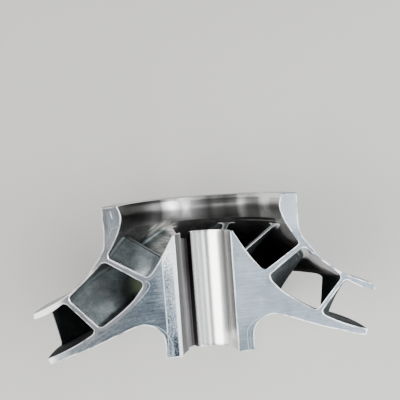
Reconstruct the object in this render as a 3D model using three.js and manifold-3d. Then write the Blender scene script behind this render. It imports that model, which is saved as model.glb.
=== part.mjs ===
import * as THREE from 'three';
import { mergeVertices } from 'three/addons/utils/BufferGeometryUtils.js';
import Module from 'manifold-3d';

// One half of a closed mixed-flow impeller, cut lengthwise through its shaft axis.
// Units are millimetres. The piece is drawn in its own frame, with X across the cut face,
// Y along the shaft axis towards the eye, and Z up out of the cut face. At the end it is turned
// into the pose in which it lies on a level floor, on the rims of its hub disc and its shroud.

// Driving dimensions of the whole impeller: radii from the shaft axis and heights above the boss end
const BORE_RADIUS = 35;
const BOSS_RADIUS = 56.2;
const HUB_TIP_RADIUS = 203;
const HUB_TIP_HEIGHT = 14.1;
const SHROUD_TIP_RADIUS = 215;
const SHROUD_TIP_HEIGHT = 63.8;
const EYE_OUTER_RADIUS = 121.7;
const EYE_INNER_RADIUS = 102.7;
const EYE_TOP = 195.8;
const NOSE_TOP = 154.2;
const NOSE_RADIUS = 37.8;

// Shaft key slot: width, depth below the bore wall, and its direction below the cut face
const KEY_WIDTH = 16;
const KEY_DEPTH = 7.7;
const KEY_ANGLE = 52.7;

// Blades: number in the whole impeller, metal thickness, root fillet and their fit to the discs
const BLADE_COUNT = 8;
const BLADE_THICKNESS = 5.2;
const BLADE_EDGE_THICKNESS = 4.2;
const BLADE_FILLET = 5.5;
const BLADE_GAP = 0.4;
const FIRST_LEADING_EDGE = 22;

// Stations along a blade: angle gained from the leading edge in degrees, and the heights of the
// blade's foot on the hub and of its head on the shroud
const BLADE_STATIONS = [
  { turn: 0, foot: 125, head: 155 },
  { turn: 22, foot: 100, head: 131.6 },
  { turn: 67, foot: 44, head: 84.6 },
  { turn: 98.4, foot: 15.1, head: 64.9 },
];

// The saw took this much from each half, on its side of the shaft axis
const CUT_BELOW_AXIS = 1.5;

// Number of flat sides of a full turn, and points along the flow surfaces
const TURN_SIDES = 96;
const FLOW_POINTS = 30;

const degrees = (value) => value * Math.PI / 180;
const point = (r, a) => new THREE.Vector2(r, a);

// Flow surface of the hub, from the nose at the bore out to the rim of the disc
const hubFlow = new THREE.SplineCurve([
  point(NOSE_RADIUS, NOSE_TOP), point(48, 136.4), point(58.6, 120), point(73.1, 101.2),
  point(86.8, 83), point(95.7, 73.9), point(110.5, 62.2), point(136, 45.1), point(162, 30),
  point(186, 19.6), point(HUB_TIP_RADIUS, HUB_TIP_HEIGHT),
]);

// Flow surface of the shroud, from the throat of the eye out to its rim
const shroudFlow = new THREE.SplineCurve([
  point(EYE_INNER_RADIUS, EYE_TOP), point(99.6, 187), point(98.8, 179.5), point(102.6, 164.8),
  point(110, 150), point(120.3, 134.4), point(138.3, 115.8), point(162.1, 94.8),
  point(180.7, 79.1), point(193.6, 71), point(203, 67), point(SHROUD_TIP_RADIUS, SHROUD_TIP_HEIGHT),
]);

// Where a curve reaches a height, found by halving; height falls along both flow surfaces
function parameterAtHeight(curve, height) {
  let low = 0;
  let high = 1;
  for (let step = 0; step < 40; step += 1) {
    const middle = (low + high) / 2;
    if (curve.getPointAt(middle).y > height) low = middle;
    else high = middle;
  }
  return (low + high) / 2;
}

// Closed manifold body of a three.js geometry
const wasm = await Module();
wasm.setup();

function toSolid(geometry) {
  const plain = geometry.index ? geometry.clone() : geometry;
  plain.deleteAttribute('normal');
  plain.deleteAttribute('uv');
  const welded = mergeVertices(plain, 1e-4);
  return new wasm.Manifold(new wasm.Mesh({
    numProp: 3,
    vertProperties: new Float32Array(welded.attributes.position.array),
    triVerts: new Uint32Array(welded.index.array),
  }));
}

function toGeometry(solid) {
  const mesh = solid.getMesh();
  const geometry = new THREE.BufferGeometry();
  geometry.setAttribute('position', new THREE.BufferAttribute(new Float32Array(mesh.vertProperties), 3));
  geometry.setIndex(new THREE.BufferAttribute(new Uint32Array(mesh.triVerts), 1));
  return geometry;
}

// Turns a closed outline of radius and height about the shaft axis. One of the flat sides faces
// straight away from the cut, so that the piece rests on two flats and not on a corner.
function revolve(outline) {
  const closed = [...outline, outline[0].clone()];
  const geometry = new THREE.LatheGeometry(closed, TURN_SIDES);
  geometry.rotateY(Math.PI / TURN_SIDES);
  return toSolid(geometry);
}

// Block that holds everything under the cut face
function lowerHalf() {
  const size = 700;
  const box = new THREE.BoxGeometry(size, size, size);
  box.translate(0, EYE_TOP / 2, -size / 2 - CUT_BELOW_AXIS);
  return toSolid(box);
}

const half = lowerHalf();

// Hub: boss, flow surface and disc, turned in one piece, with the shaft bore and its key slot
function hubSolid() {
  const flow = [];
  for (let i = 0; i <= FLOW_POINTS; i += 1) flow.push(hubFlow.getPointAt(i / FLOW_POINTS));
  const back = new THREE.SplineCurve([
    point(200, 6.2), point(186, 9.3), point(169.4, 15), point(144, 22.8), point(117.5, 33),
    point(100, 39.6), point(84, 44.2), point(72, 42), point(63.4, 36), point(57.9, 28),
    point(BOSS_RADIUS, 18),
  ]).getSpacedPoints(20);
  const outline = [
    point(BORE_RADIUS, NOSE_TOP), ...flow, ...back, point(BOSS_RADIUS, 0), point(BORE_RADIUS, 0),
  ];
  const body = revolve(outline.reverse());
  const slot = new THREE.BoxGeometry(KEY_DEPTH + BORE_RADIUS, NOSE_TOP + 20, KEY_WIDTH);
  slot.translate(-(KEY_DEPTH + BORE_RADIUS) / 2, NOSE_TOP / 2, 0);
  slot.rotateY(degrees(-KEY_ANGLE));
  return body.intersect(half).subtract(toSolid(slot));
}

// Shroud: the eye ring and the curved cover over the blades, in one piece
function shroudSolid() {
  const flow = [];
  for (let i = 0; i <= FLOW_POINTS + 4; i += 1) flow.push(shroudFlow.getPointAt(i / (FLOW_POINTS + 4)));
  const cover = new THREE.SplineCurve([
    point(SHROUD_TIP_RADIUS, 71.5), point(195, 79.7), point(175, 89.6), point(156.8, 103.2),
    point(146, 112.6), point(135.2, 126.8), point(127.4, 137.6),
  ]).getSpacedPoints(16);
  const outline = [
    ...flow, ...cover, point(124.2, 143.6), point(122.8, 149), point(EYE_OUTER_RADIUS, 158),
    point(EYE_OUTER_RADIUS, EYE_TOP),
  ];
  return revolve(outline).intersect(half);
}

// Smooth curve of one station value over the angle gained, as a function that is read by halving
function alongBlade(curve, edge) {
  const path = new THREE.SplineCurve(BLADE_STATIONS.map((station) => (
    point(station.turn, parameterAtHeight(curve, station[edge])))));
  return (turn) => {
    let low = 0;
    let high = 1;
    for (let step = 0; step < 40; step += 1) {
      const middle = (low + high) / 2;
      if (path.getPoint(middle).x < turn) low = middle;
      else high = middle;
    }
    return path.getPoint((low + high) / 2).y;
  };
}

const footAt = alongBlade(hubFlow, 'foot');
const headAt = alongBlade(shroudFlow, 'head');

// Point of a blade's middle surface: radius and height for an angle gained and a share of the span
function onBlade(turn, share) {
  const foot = hubFlow.getPointAt(footAt(turn));
  const head = shroudFlow.getPointAt(headAt(turn));
  const gap = BLADE_GAP / foot.distanceTo(head);
  return foot.lerp(head, gap + share * (1 - 2 * gap));
}

// Fractions across the passage at which a blade has points: close together in the root fillets
function spanFractions(width) {
  const fillet = BLADE_FILLET / width;
  const steps = [0, 0.15, 0.4, 0.75, 1];
  const near = steps.map((s) => s * fillet);
  const middle = [0.35, 0.65];
  return [...near, ...middle, ...near.map((s) => 1 - s).reverse()];
}

// Middle of a blade's foot or head, and the points half-way to its two sides, round the disc
function acrossEdge(side, angle) {
  const [r, a, outer] = side;
  const half = (outer - angle) / 2;
  return [[r, a, angle], [r, a, angle + half], [r, a, angle - half]];
}

// Faces that close a blade's end: a fan at foot and head, which stays clear of the round discs,
// and strips from one face of the blade to the other between them
function endFaces(count) {
  const head = count / 2;
  const faces = [[0, 1, 3], [1, 2, 3], [0, 3, -3], [0, -3, -1], [-1, -3, -2]];
  faces.push([head - 3, head - 2, head - 1], [head - 3, head - 1, head], [head - 3, head, head + 3]);
  faces.push([head, head + 1, head + 3], [head + 1, head + 2, head + 3]);
  for (let j = 3; j < head - 3; j += 1) {
    faces.push([j, j + 1, -j - 1], [j, -j - 1, -j]);
  }
  return faces;
}

// One blade as a closed skin between hub and shroud; its two faces lie to each side of its middle
function bladeGeometry(leadingEdge) {
  const along = 34;
  const last = BLADE_STATIONS[BLADE_STATIONS.length - 1].turn;
  const step = last / along;
  const rings = [];
  for (let i = 0; i <= along; i += 1) {
    const turn = i * step;
    const before = Math.max(turn - step / 2, 0);
    const after = Math.min(turn + step / 2, last);
    const width = onBlade(turn, 0).distanceTo(onBlade(turn, 1));
    const edge = Math.min(1, Math.min(i, along - i) / 5);
    const metal = THREE.MathUtils.lerp(BLADE_EDGE_THICKNESS, BLADE_THICKNESS, edge);
    const angle = degrees(leadingEdge + turn);
    const ring = { plus: [], minus: [] };
    for (const share of spanFractions(width)) {
      const middle = onBlade(turn, share);
      const run = onBlade(before, share).distanceTo(onBlade(after, share));
      const slope = Math.atan2(middle.x * degrees(after - before), run);
      const wall = Math.min(share, 1 - share) * width;
      const reach = Math.max(0, BLADE_FILLET - wall);
      const flare = BLADE_FILLET - Math.sqrt(BLADE_FILLET ** 2 - reach ** 2);
      const halfAngle = (metal / 2 + flare * 0.92) / Math.cos(slope) / middle.x;
      ring.plus.push([middle.x, middle.y, angle + halfAngle]);
      ring.minus.push([middle.x, middle.y, angle - halfAngle]);
    }
    const foot = acrossEdge(ring.plus[0], angle);
    const head = acrossEdge(ring.plus[ring.plus.length - 1], angle);
    rings.push([foot[0], foot[1], ...ring.plus, head[1], head[0], head[2], ...ring.minus.reverse(), foot[2]]);
  }
  const positions = [];
  const index = [];
  const count = rings[0].length;
  for (const ring of rings) {
    for (const [r, a, angle] of ring) positions.push(r * Math.cos(angle), a, -r * Math.sin(angle));
  }
  const at = (i, j) => i * count + (j % count);
  for (let i = 0; i < along; i += 1) {
    for (let j = 0; j < count; j += 1) {
      index.push(at(i, j), at(i, j + 1), at(i + 1, j), at(i + 1, j), at(i, j + 1), at(i + 1, j + 1));
    }
  }
  for (const [row, flip] of [[0, true], [along, false]]) {
    for (const face of endFaces(count)) {
      const corners = face.map((j) => at(row, (j + count) % count));
      index.push(...(flip ? corners.reverse() : corners));
    }
  }
  const geometry = new THREE.BufferGeometry();
  geometry.setAttribute('position', new THREE.BufferAttribute(new Float32Array(positions), 3));
  geometry.setIndex(index);
  return geometry;
}

const group = new THREE.Group();

function addNode(name, solid, colour, roughness) {
  const material = new THREE.MeshStandardMaterial({ color: colour, metalness: 1, roughness });
  const mesh = new THREE.Mesh(toGeometry(solid), material);
  mesh.name = name;
  group.add(mesh);
  return mesh;
}

addNode('hub', hubSolid(), 0xb9bec4, 0.35);
addNode('shroud', shroudSolid(), 0xb4babf, 0.35);

// Blades whose whole or part lies under the cut face, counted from the right-hand side
const bladeNames = ['blade_right_outer', 'blade_right_inner', 'blade_lower_right', 'blade_lower_left',
  'blade_left_outer', 'blade_left_inner'];
bladeNames.forEach((name, number) => {
  const leadingEdge = FIRST_LEADING_EDGE + (number - 2) * 360 / BLADE_COUNT;
  const solid = toSolid(bladeGeometry(leadingEdge));
  addNode(name, solid.intersect(half), 0x8d9498, 0.5);
});

// Lying on the floor: the eye end of the axis rises until both rims touch
const REST_TILT = Math.atan2((SHROUD_TIP_RADIUS - HUB_TIP_RADIUS) * Math.cos(Math.PI / TURN_SIDES),
  SHROUD_TIP_HEIGHT - HUB_TIP_HEIGHT);
const turn = new THREE.Matrix4().makeRotationX(REST_TILT);
for (const mesh of group.children) {
  mesh.geometry.applyMatrix4(turn);
}
const bounds = new THREE.Box3().setFromObject(group);
const centre = bounds.getCenter(new THREE.Vector3());
for (const mesh of group.children) {
  mesh.geometry.translate(0, -centre.y, -bounds.min.z);
}

export default group;
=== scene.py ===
"""Dresses the half of a closed impeller that lies cut face up.

The hub, the shroud and the blades are worked out as fine surfaces from the same sizes as the solids of the
part, and two thin plates carry the cut face. Sizes are in millimetres: radii are from the shaft axis and heights
from the end of the boss. Angles go round the shaft axis from the right-hand end of the cut face, down and to the
left.
"""

import logging
import math
from collections.abc import Mapping, Sequence
from dataclasses import dataclass, field
from enum import Enum, IntEnum
from functools import cached_property
from typing import Any, TypeAlias

import bmesh
import bpy
import numpy as np
from mathutils import Matrix, Vector
from mathutils.geometry import delaunay_2d_cdt

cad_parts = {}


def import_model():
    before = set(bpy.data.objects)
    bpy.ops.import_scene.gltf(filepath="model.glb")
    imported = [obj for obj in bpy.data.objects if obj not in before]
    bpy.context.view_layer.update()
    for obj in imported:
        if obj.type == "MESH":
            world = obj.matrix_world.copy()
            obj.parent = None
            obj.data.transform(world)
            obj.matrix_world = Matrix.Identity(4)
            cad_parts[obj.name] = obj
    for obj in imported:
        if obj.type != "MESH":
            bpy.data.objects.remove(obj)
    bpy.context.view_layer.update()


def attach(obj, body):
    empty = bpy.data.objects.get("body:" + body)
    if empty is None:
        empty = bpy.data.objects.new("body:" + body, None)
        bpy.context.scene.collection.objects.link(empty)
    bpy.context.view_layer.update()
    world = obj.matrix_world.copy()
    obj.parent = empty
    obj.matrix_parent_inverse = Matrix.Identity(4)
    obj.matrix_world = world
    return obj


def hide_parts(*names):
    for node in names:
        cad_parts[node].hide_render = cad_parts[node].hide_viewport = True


Array: TypeAlias = np.ndarray
Pair: TypeAlias = tuple[float, float]
Colour: TypeAlias = tuple[float, float, float]
Stops: TypeAlias = tuple[Pair, ...]

LOG = logging.getLogger("impeller")
# A millimetre, and the distance below which two points of a mesh are one, in metres
MM = 0.001
SAME_SPOT = 2e-6
# A length that makes no difference, in millimetres
TINY = 1e-6
# The last angle round the half piece, in degrees
HALF_TURN = 180.0
# Corners that outlines share, as radius and height in millimetres
NOSE: Pair = (37.8, 154.2)
HUB_RIM: Pair = (203.0, 14.1)
SHROUD_RIM: Pair = (215.0, 63.8)
EYE_EDGE: Pair = (121.7, 195.8)


class Side(Enum):
    """The two sides of the cut face, as the direction of each from the shaft axis."""

    RIGHT = 1
    LEFT = -1


class Surface(IntEnum):
    """The surfaces of hub, shroud and blades, as the numbers of their finishes."""

    CUT = 0
    FLOW = 1
    BORED = 2
    TURNED = 3
    EDGE = 4
    SLOT = 5


class PlateSurface(IntEnum):
    """The surfaces of a plate of the cut face, as the numbers of their finishes."""

    FACE = 0
    EDGE = 1


# Curves

def lengths_along(points: Array) -> Array:
    """Length along a chain of points from its first point to each of them."""
    return np.concatenate([[0.0], np.cumsum(np.linalg.norm(np.diff(points, axis=0), axis=1))])


class SmoothCurve:
    """A smooth curve through given points that is read by its share of length."""

    PIECES = 80

    def __init__(self, corners: Sequence[Pair]) -> None:
        """Works out the curve and its length.

        Between two corners the curve is the cubic that leaves each of them in the direction from the corner
        before to the corner after it, in PIECES straight lines.

        Args:
            corners: points that the curve passes through.
        """
        given = np.array(corners, float)
        last = len(given) - 1
        position = np.linspace(0, last, last * self.PIECES + 1)
        index = np.minimum(position.astype(int), last - 1)
        t = (position - index)[:, None]
        before, start, end, after = (given[np.clip(index + step, 0, last)] for step in (-1, 0, 1, 2))
        leave = (end - before) / 2
        arrive = (after - start) / 2
        self.points = (
            (2 * start - 2 * end + leave + arrive) * t ** 3
            + (3 * end - 3 * start - 2 * leave - arrive) * t ** 2
            + leave * t
            + start
        )
        self.run = lengths_along(self.points)
        self.length = float(self.run[-1])

    def at(self, share: Array) -> Array:
        """Points at the given shares of the curve's length."""
        run = np.asarray(share, float) * self.length
        return np.stack([np.interp(run, self.run, self.points[:, k]) for k in (0, 1)], axis=-1)

    def share_at_height(self, height: Array) -> Array:
        """Shares of length at which the curve, which falls along its length, has the given heights."""
        return np.interp(height, self.points[::-1, 1], self.run[::-1]) / self.length

    def share_at_radius(self, radius: Array) -> Array:
        """Shares of length at which the curve, which widens along its length, has the given radii."""
        return np.interp(radius, self.points[:, 0], self.run) / self.length


def spaced(points: Array, step: float) -> Array:
    """Points at even spacing along a chain of straight lines.

    Args:
        points: the chain's corners, one row each.
        step: spacing to aim for.

    Returns:
        The chain's points, with both ends kept.
    """
    run = lengths_along(points)
    count = max(2, int(round(run[-1] / step)) + 1)
    even = np.linspace(0, run[-1], count)
    return np.stack([np.interp(even, run, points[:, k]) for k in range(points.shape[1])], axis=-1)


def trimmed(points: Array, start: float, end: float) -> Array:
    """A chain of points without the given lengths at its start and its end."""
    run = lengths_along(points)
    inner = (run > start + TINY) & (run < run[-1] - end - TINY)
    ends = np.array([start, run[-1] - end])
    first, last = (np.array([np.interp(at, run, points[:, k]) for k in (0, 1)]) for at in ends)
    return np.concatenate([[first], points[inner], [last]])


@dataclass(frozen=True)
class Stretch:
    """A part of a turned outline.

    Attributes:
        points: radius and height of its points.
        finish: number of its finish.
        end_round: how far back the rounding of the corner at its end reaches.
    """

    points: Array
    finish: Surface
    end_round: float


def rounded_outline(stretches: Sequence[Stretch]) -> tuple[Array, Array]:
    """Joins stretches to a closed outline with rounded corners, which have the finish of an edge.

    Each corner is the curve (1 - t)^2 A + 2 t (1 - t) C + t^2 B between the trimmed ends A and B, where C is the
    corner itself.

    Args:
        stretches: parts of the outline in order; each begins where the one before it ends.

    Returns:
        The outline's points, and for each of them the finish of the surface up to the next one.
    """
    t = np.linspace(0, 1, 4)[:, None]
    points: list[Array] = []
    finishes: list[Array] = []
    for number, here in enumerate(stretches):
        after = stretches[(number + 1) % len(stretches)]
        body = trimmed(here.points, stretches[number - 1].end_round, here.end_round)
        begin = trimmed(after.points, here.end_round, after.end_round)[0]
        corner = here.points[-1]
        bend = (1 - t) ** 2 * body[-1] + 2 * t * (1 - t) * corner + t ** 2 * begin
        points += [body, bend[1:-1]]
        finishes += [np.full(len(body) - 1, here.finish), np.full(len(bend) - 1, Surface.EDGE)]
    return np.concatenate(points), np.concatenate(finishes)


# Where the piece lies

@dataclass(frozen=True)
class Lie:
    """How the piece lies on the floor, on the rims of its two discs.

    The shaft axis rises by the angle of the line from rim to rim. The piece is then moved until the lower rim
    touches the floor and its box stands over the origin.

    Attributes:
        hub_rim: radius and height of the hub's rim.
        shroud_rim: radius and height of the shroud's rim.
        eye_edge: radius and height of the outer edge of the eye ring's end.
        cut: depth of the cut face under the shaft axis.
        flats: number of flat sides that the solids have round the axis.
    """

    hub_rim: Pair = HUB_RIM
    shroud_rim: Pair = SHROUD_RIM
    eye_edge: Pair = EYE_EDGE
    cut: float = 1.5
    flats: int = 96

    @cached_property
    def across(self) -> float:
        """Share of the radius at which the middle of a flat side lies."""
        return math.cos(math.pi / self.flats)

    @cached_property
    def tilt(self) -> float:
        """Angle by which the shaft axis rises."""
        wider = (self.shroud_rim[0] - self.hub_rim[0]) * self.across
        return math.atan2(wider, self.shroud_rim[1] - self.hub_rim[1])

    @cached_property
    def shift(self) -> tuple[float, float, float]:
        """Move after the turn, in millimetres."""
        c, s = math.cos(self.tilt), math.sin(self.tilt)
        up = self.shroud_rim[0] * self.across * c - self.shroud_rim[1] * s
        far = self.eye_edge[1] * c + self.eye_edge[0] * self.across * s
        near = self.cut * s
        return (0.0, -(far + near) / 2, up)

    def place(self, points: Array) -> Array:
        """Points across, along and above the shaft axis, as points of the row frame in metres."""
        across, along, above = np.moveaxis(points, -1, 0)
        c, s = math.cos(self.tilt), math.sin(self.tilt)
        turned = np.stack([across, along * c - above * s, along * s + above * c], axis=-1)
        return (turned + np.array(self.shift)) * MM


# Node graphs

class Value:
    """A number in a node graph. Each operator on it adds a Math node."""

    def __init__(self, graph: "Graph", socket: bpy.types.NodeSocket) -> None:
        """Keeps the graph and the output socket that the number comes from."""
        self.graph = graph
        self.socket = socket

    def __add__(self, other: "Number") -> "Value":
        """The sum."""
        return self.graph.math("ADD", self, other)

    def __sub__(self, other: "Number") -> "Value":
        """The difference."""
        return self.graph.math("SUBTRACT", self, other)

    def __rsub__(self, other: "Number") -> "Value":
        """The difference, from the other number."""
        return self.graph.math("SUBTRACT", other, self)

    def __mul__(self, other: "Number") -> "Value":
        """The product."""
        return self.graph.math("MULTIPLY", self, other)

    def __truediv__(self, other: "Number") -> "Value":
        """The quotient."""
        return self.graph.math("DIVIDE", self, other)

    def __pow__(self, other: "Number") -> "Value":
        """The power."""
        return self.graph.math("POWER", self, other)

    def __abs__(self) -> "Value":
        """The number without its sign."""
        return self.graph.math("ABSOLUTE", self)

    __radd__ = __add__

    def between(self, low: float, high: float) -> "Value":
        """Goes smoothly from 0 at low to 1 at high, or from 1 to 0 where high is below low."""
        if high < low:
            return 1 - self.between(high, low)
        node = self.graph.add(
            "ShaderNodeMapRange",
            {"interpolation_type": "SMOOTHSTEP", "clamp": True},
            {"Value": self, "From Min": low, "From Max": high},
        )
        return Value(self.graph, node.outputs["Result"])


Number: TypeAlias = Value | float


class Graph:
    """The node graph of one material, with the few kinds of node that the finishes use."""

    def __init__(self, name: str, lie: Lie) -> None:
        """Starts a material.

        Args:
            name: the material's name.
            lie: how the piece lies, for patterns that follow the shaft axis.
        """
        self.material = bpy.data.materials.new(name)
        self.material.use_nodes = True
        self.tree = self.material.node_tree
        self.shader = self.tree.nodes["Principled BSDF"]
        self.lie = lie

    def add(
        self,
        kind: str,
        settings: Mapping[str, Any] | None = None,
        inputs: Mapping[str | int, Any] | None = None,
    ) -> bpy.types.Node:
        """Adds a node.

        Args:
            kind: the node's type.
            settings: its settings, which are set first. For a ramp, "stops" are places and colours or numbers.
            inputs: values or links of its sockets, by name or number.

        Returns:
            The node.
        """
        node = self.tree.nodes.new(kind)
        for key, setting in (settings or {}).items():
            if key == "stops":
                self._set_stops(node.color_ramp.elements, setting)
            else:
                setattr(node, key, setting)
        for key, given in (inputs or {}).items():
            self.feed(node.inputs[key], given)
        return node

    def feed(self, socket: bpy.types.NodeSocket, given: Any) -> None:
        """Links a socket to a value or another socket, or sets it to a constant."""
        if isinstance(given, Value):
            given = given.socket
        if isinstance(given, bpy.types.NodeSocket):
            self.tree.links.new(given, socket)
        elif isinstance(given, tuple) and len(given) == 3 and socket.type == "RGBA":
            socket.default_value = (*given, 1.0)
        else:
            socket.default_value = given

    @staticmethod
    def _set_stops(elements: Any, stops: Sequence[tuple[float, float | Colour]]) -> None:
        """Gives a ramp its stops; it starts with two."""
        for number, (place, shade) in enumerate(stops):
            element = elements[number] if number < 2 else elements.new(place)
            element.position = place
            colour = (shade,) * 3 if isinstance(shade, (int, float)) else shade
            element.color = (*colour, 1.0)

    def math(self, operation: str, *operands: Number) -> Value:
        """A Math node on one to three numbers."""
        node = self.add("ShaderNodeMath", {"operation": operation}, dict(enumerate(operands)))
        return Value(self, node.outputs[0])

    def larger(self, first: Number, second: Number) -> Value:
        """The larger of two numbers."""
        return self.math("MAXIMUM", first, second)

    def smaller(self, first: Number, second: Number) -> Value:
        """The smaller of two numbers."""
        return self.math("MINIMUM", first, second)

    @cached_property
    def spot(self) -> bpy.types.NodeSocket:
        """Place on the piece in millimetres: across, along and above the shaft axis."""
        where = self.add("ShaderNodeTexCoord").outputs["Object"]
        c, s = math.cos(self.lie.tilt), math.sin(self.lie.tilt)
        _, back, up = self.lie.shift
        move = (0.0, -(back * c + up * s), back * s - up * c)
        node = self.add(
            "ShaderNodeMapping",
            {"vector_type": "POINT"},
            {"Vector": where, "Location": move, "Rotation": (-self.lie.tilt, 0.0, 0.0), "Scale": (1 / MM,) * 3},
        )
        return node.outputs["Vector"]

    @cached_property
    def split(self) -> tuple[Value, ...]:
        """The three numbers of the place on the piece."""
        node = self.add("ShaderNodeSeparateXYZ", None, {"Vector": self.spot})
        return tuple(Value(self, socket) for socket in node.outputs)

    @cached_property
    def radius(self) -> Value:
        """Distance from the shaft axis."""
        across, _, above = self.split
        return (across * across + above * above) ** 0.5

    @cached_property
    def angle(self) -> Value:
        """Angle round the shaft axis in radians, 0 on the right and growing downwards."""
        across, _, above = self.split
        return self.math("ARCTAN2", 0 - above, across)

    @cached_property
    def degrees(self) -> Value:
        """Angle round the shaft axis in degrees."""
        return self.angle * (180.0 / math.pi)

    def vector(self, first: Number, second: Number, third: Number) -> bpy.types.NodeSocket:
        """A vector of three numbers."""
        return self.add("ShaderNodeCombineXYZ", None, {0: first, 1: second, 2: third}).outputs[0]

    def noise(
        self,
        where: bpy.types.NodeSocket,
        scale: float,
        detail: float = 2.0,
        rough: float = 0.5,
        bend: float = 0.0,
    ) -> Value:
        """Cloudy noise between 0 and 1.

        Args:
            where: place at which it is read.
            scale: number of clouds to a unit of length.
            detail: number of finer layers.
            rough: strength of the finer layers.
            bend: how far the pattern is pulled about.

        Returns:
            The noise, about 0.5 on average.
        """
        node = self.add(
            "ShaderNodeTexNoise",
            {"noise_dimensions": "3D"},
            {"Vector": where, "Scale": scale, "Detail": detail, "Roughness": rough, "Distortion": bend},
        )
        return Value(self, node.outputs["Fac"])

    def mixed(self, share: Number, first: Any, second: Any) -> bpy.types.NodeSocket:
        """The colour that lies between two colours at a share from 0 to 1."""
        node = self.add("ShaderNodeMix", {"data_type": "RGBA", "clamp_factor": True})
        self.feed(node.inputs[0], share)
        self.feed(node.inputs[6], first)
        self.feed(node.inputs[7], second)
        return node.outputs[2]

    def shaded(self, colour: Any, amount: Number) -> bpy.types.NodeSocket:
        """A colour multiplied by an amount."""
        node = self.add("ShaderNodeVectorMath", {"operation": "SCALE"})
        self.feed(node.inputs[0], colour)
        self.feed(node.inputs["Scale"], amount)
        return node.outputs[0]

    def tinted(self, colour: Any, tint: Colour) -> bpy.types.NodeSocket:
        """A colour multiplied by another."""
        return self.add("ShaderNodeVectorMath", {"operation": "MULTIPLY"}, {0: colour, 1: tint}).outputs[0]

    def ramp(self, place: Value, stops: Sequence[tuple[float, float | Colour]]) -> bpy.types.NodeSocket:
        """The colour at a place from 0 to 1, which goes smoothly from stop to stop."""
        return self.add("ShaderNodeValToRGB", {"stops": stops}, {"Fac": place}).outputs["Color"]

    def over(self, place: Value, last: float, stops: Sequence[Pair]) -> Value:
        """A number that changes with a place.

        Args:
            place: the place, from 0 on.
            last: the place at which the stops may end.
            stops: places and the number at each.

        Returns:
            The number, which goes smoothly from stop to stop.
        """
        shares = [(stop / last, number) for stop, number in stops]
        return Value(self, self.ramp(place / last, shares))

    def bump(self, height: Value, distance: float, strength: float = 1.0) -> bpy.types.NodeSocket:
        """The surface direction of a height from 0 to 1, which stands for a distance in metres."""
        node = self.add("ShaderNodeBump", None, {"Height": height, "Distance": distance, "Strength": strength})
        return node.outputs["Normal"]

    def attribute(self, name: str) -> Value:
        """A number that the mesh holds at each of its points."""
        node = self.add("ShaderNodeAttribute", {"attribute_type": "GEOMETRY", "attribute_name": name})
        return Value(self, node.outputs["Fac"])

    def finish(
        self,
        colour: Any,
        roughness: Number,
        normal: bpy.types.NodeSocket | None = None,
        metal: Number = 1.0,
        grazing: float = 1.0,
    ) -> bpy.types.Material:
        """Connects the shader.

        Args:
            colour: the metal's colour.
            roughness: how dull it is.
            normal: the surface direction, where it isn't the mesh's own.
            metal: 1 for bare metal, less where it is scuffed or dusty and scatters the light.
            grazing: how strongly the metal shines when it is seen at a flat angle.

        Returns:
            The material.
        """
        self.feed(self.shader.inputs["Base Color"], colour)
        self.feed(self.shader.inputs["Roughness"], roughness)
        self.feed(self.shader.inputs["Metallic"], metal)
        self.shader.inputs["Specular Tint"].default_value = (grazing, grazing, grazing, 1.0)
        if normal is not None:
            self.feed(self.shader.inputs["Normal"], normal)
        return self.material


# Finishes

EVEN: Stops = ((0.0, 1.0), (HALF_TURN, 1.0))

# A height and a place on the left beyond which no tones are given, in millimetres
TOP = 200.0
LEFT_REACH = 110.0

# Colours that wear, dust and stains leave, and those of painted highlights, light and shade
EDGE_HIGHLIGHT: Colour = (0.98, 0.99, 1.0)
BAND_EDGE_HIGHLIGHT: Colour = (0.98, 0.98, 0.96)
WATER_MARK: Colour = (0.97, 0.95, 0.91)
DUSTY: Colour = (0.9, 0.89, 0.86)
PAINTED_LIGHT_GREY: Colour = (0.8, 0.8, 0.81)
FILLET_LIGHT: Colour = (0.78, 0.78, 0.8)
TAIL_HIGHLIGHT: Colour = (0.7, 0.71, 0.72)
LIT_FRONT_GREY: Colour = (0.4, 0.43, 0.46)
SHADED_EDGE: Colour = (0.2, 0.22, 0.23)
GREENISH: Colour = (0.19, 0.22, 0.14)
SHADED_FILLET: Colour = (0.04, 0.045, 0.05)
SHADE_LINE: Colour = (0.008, 0.009, 0.01)


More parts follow.
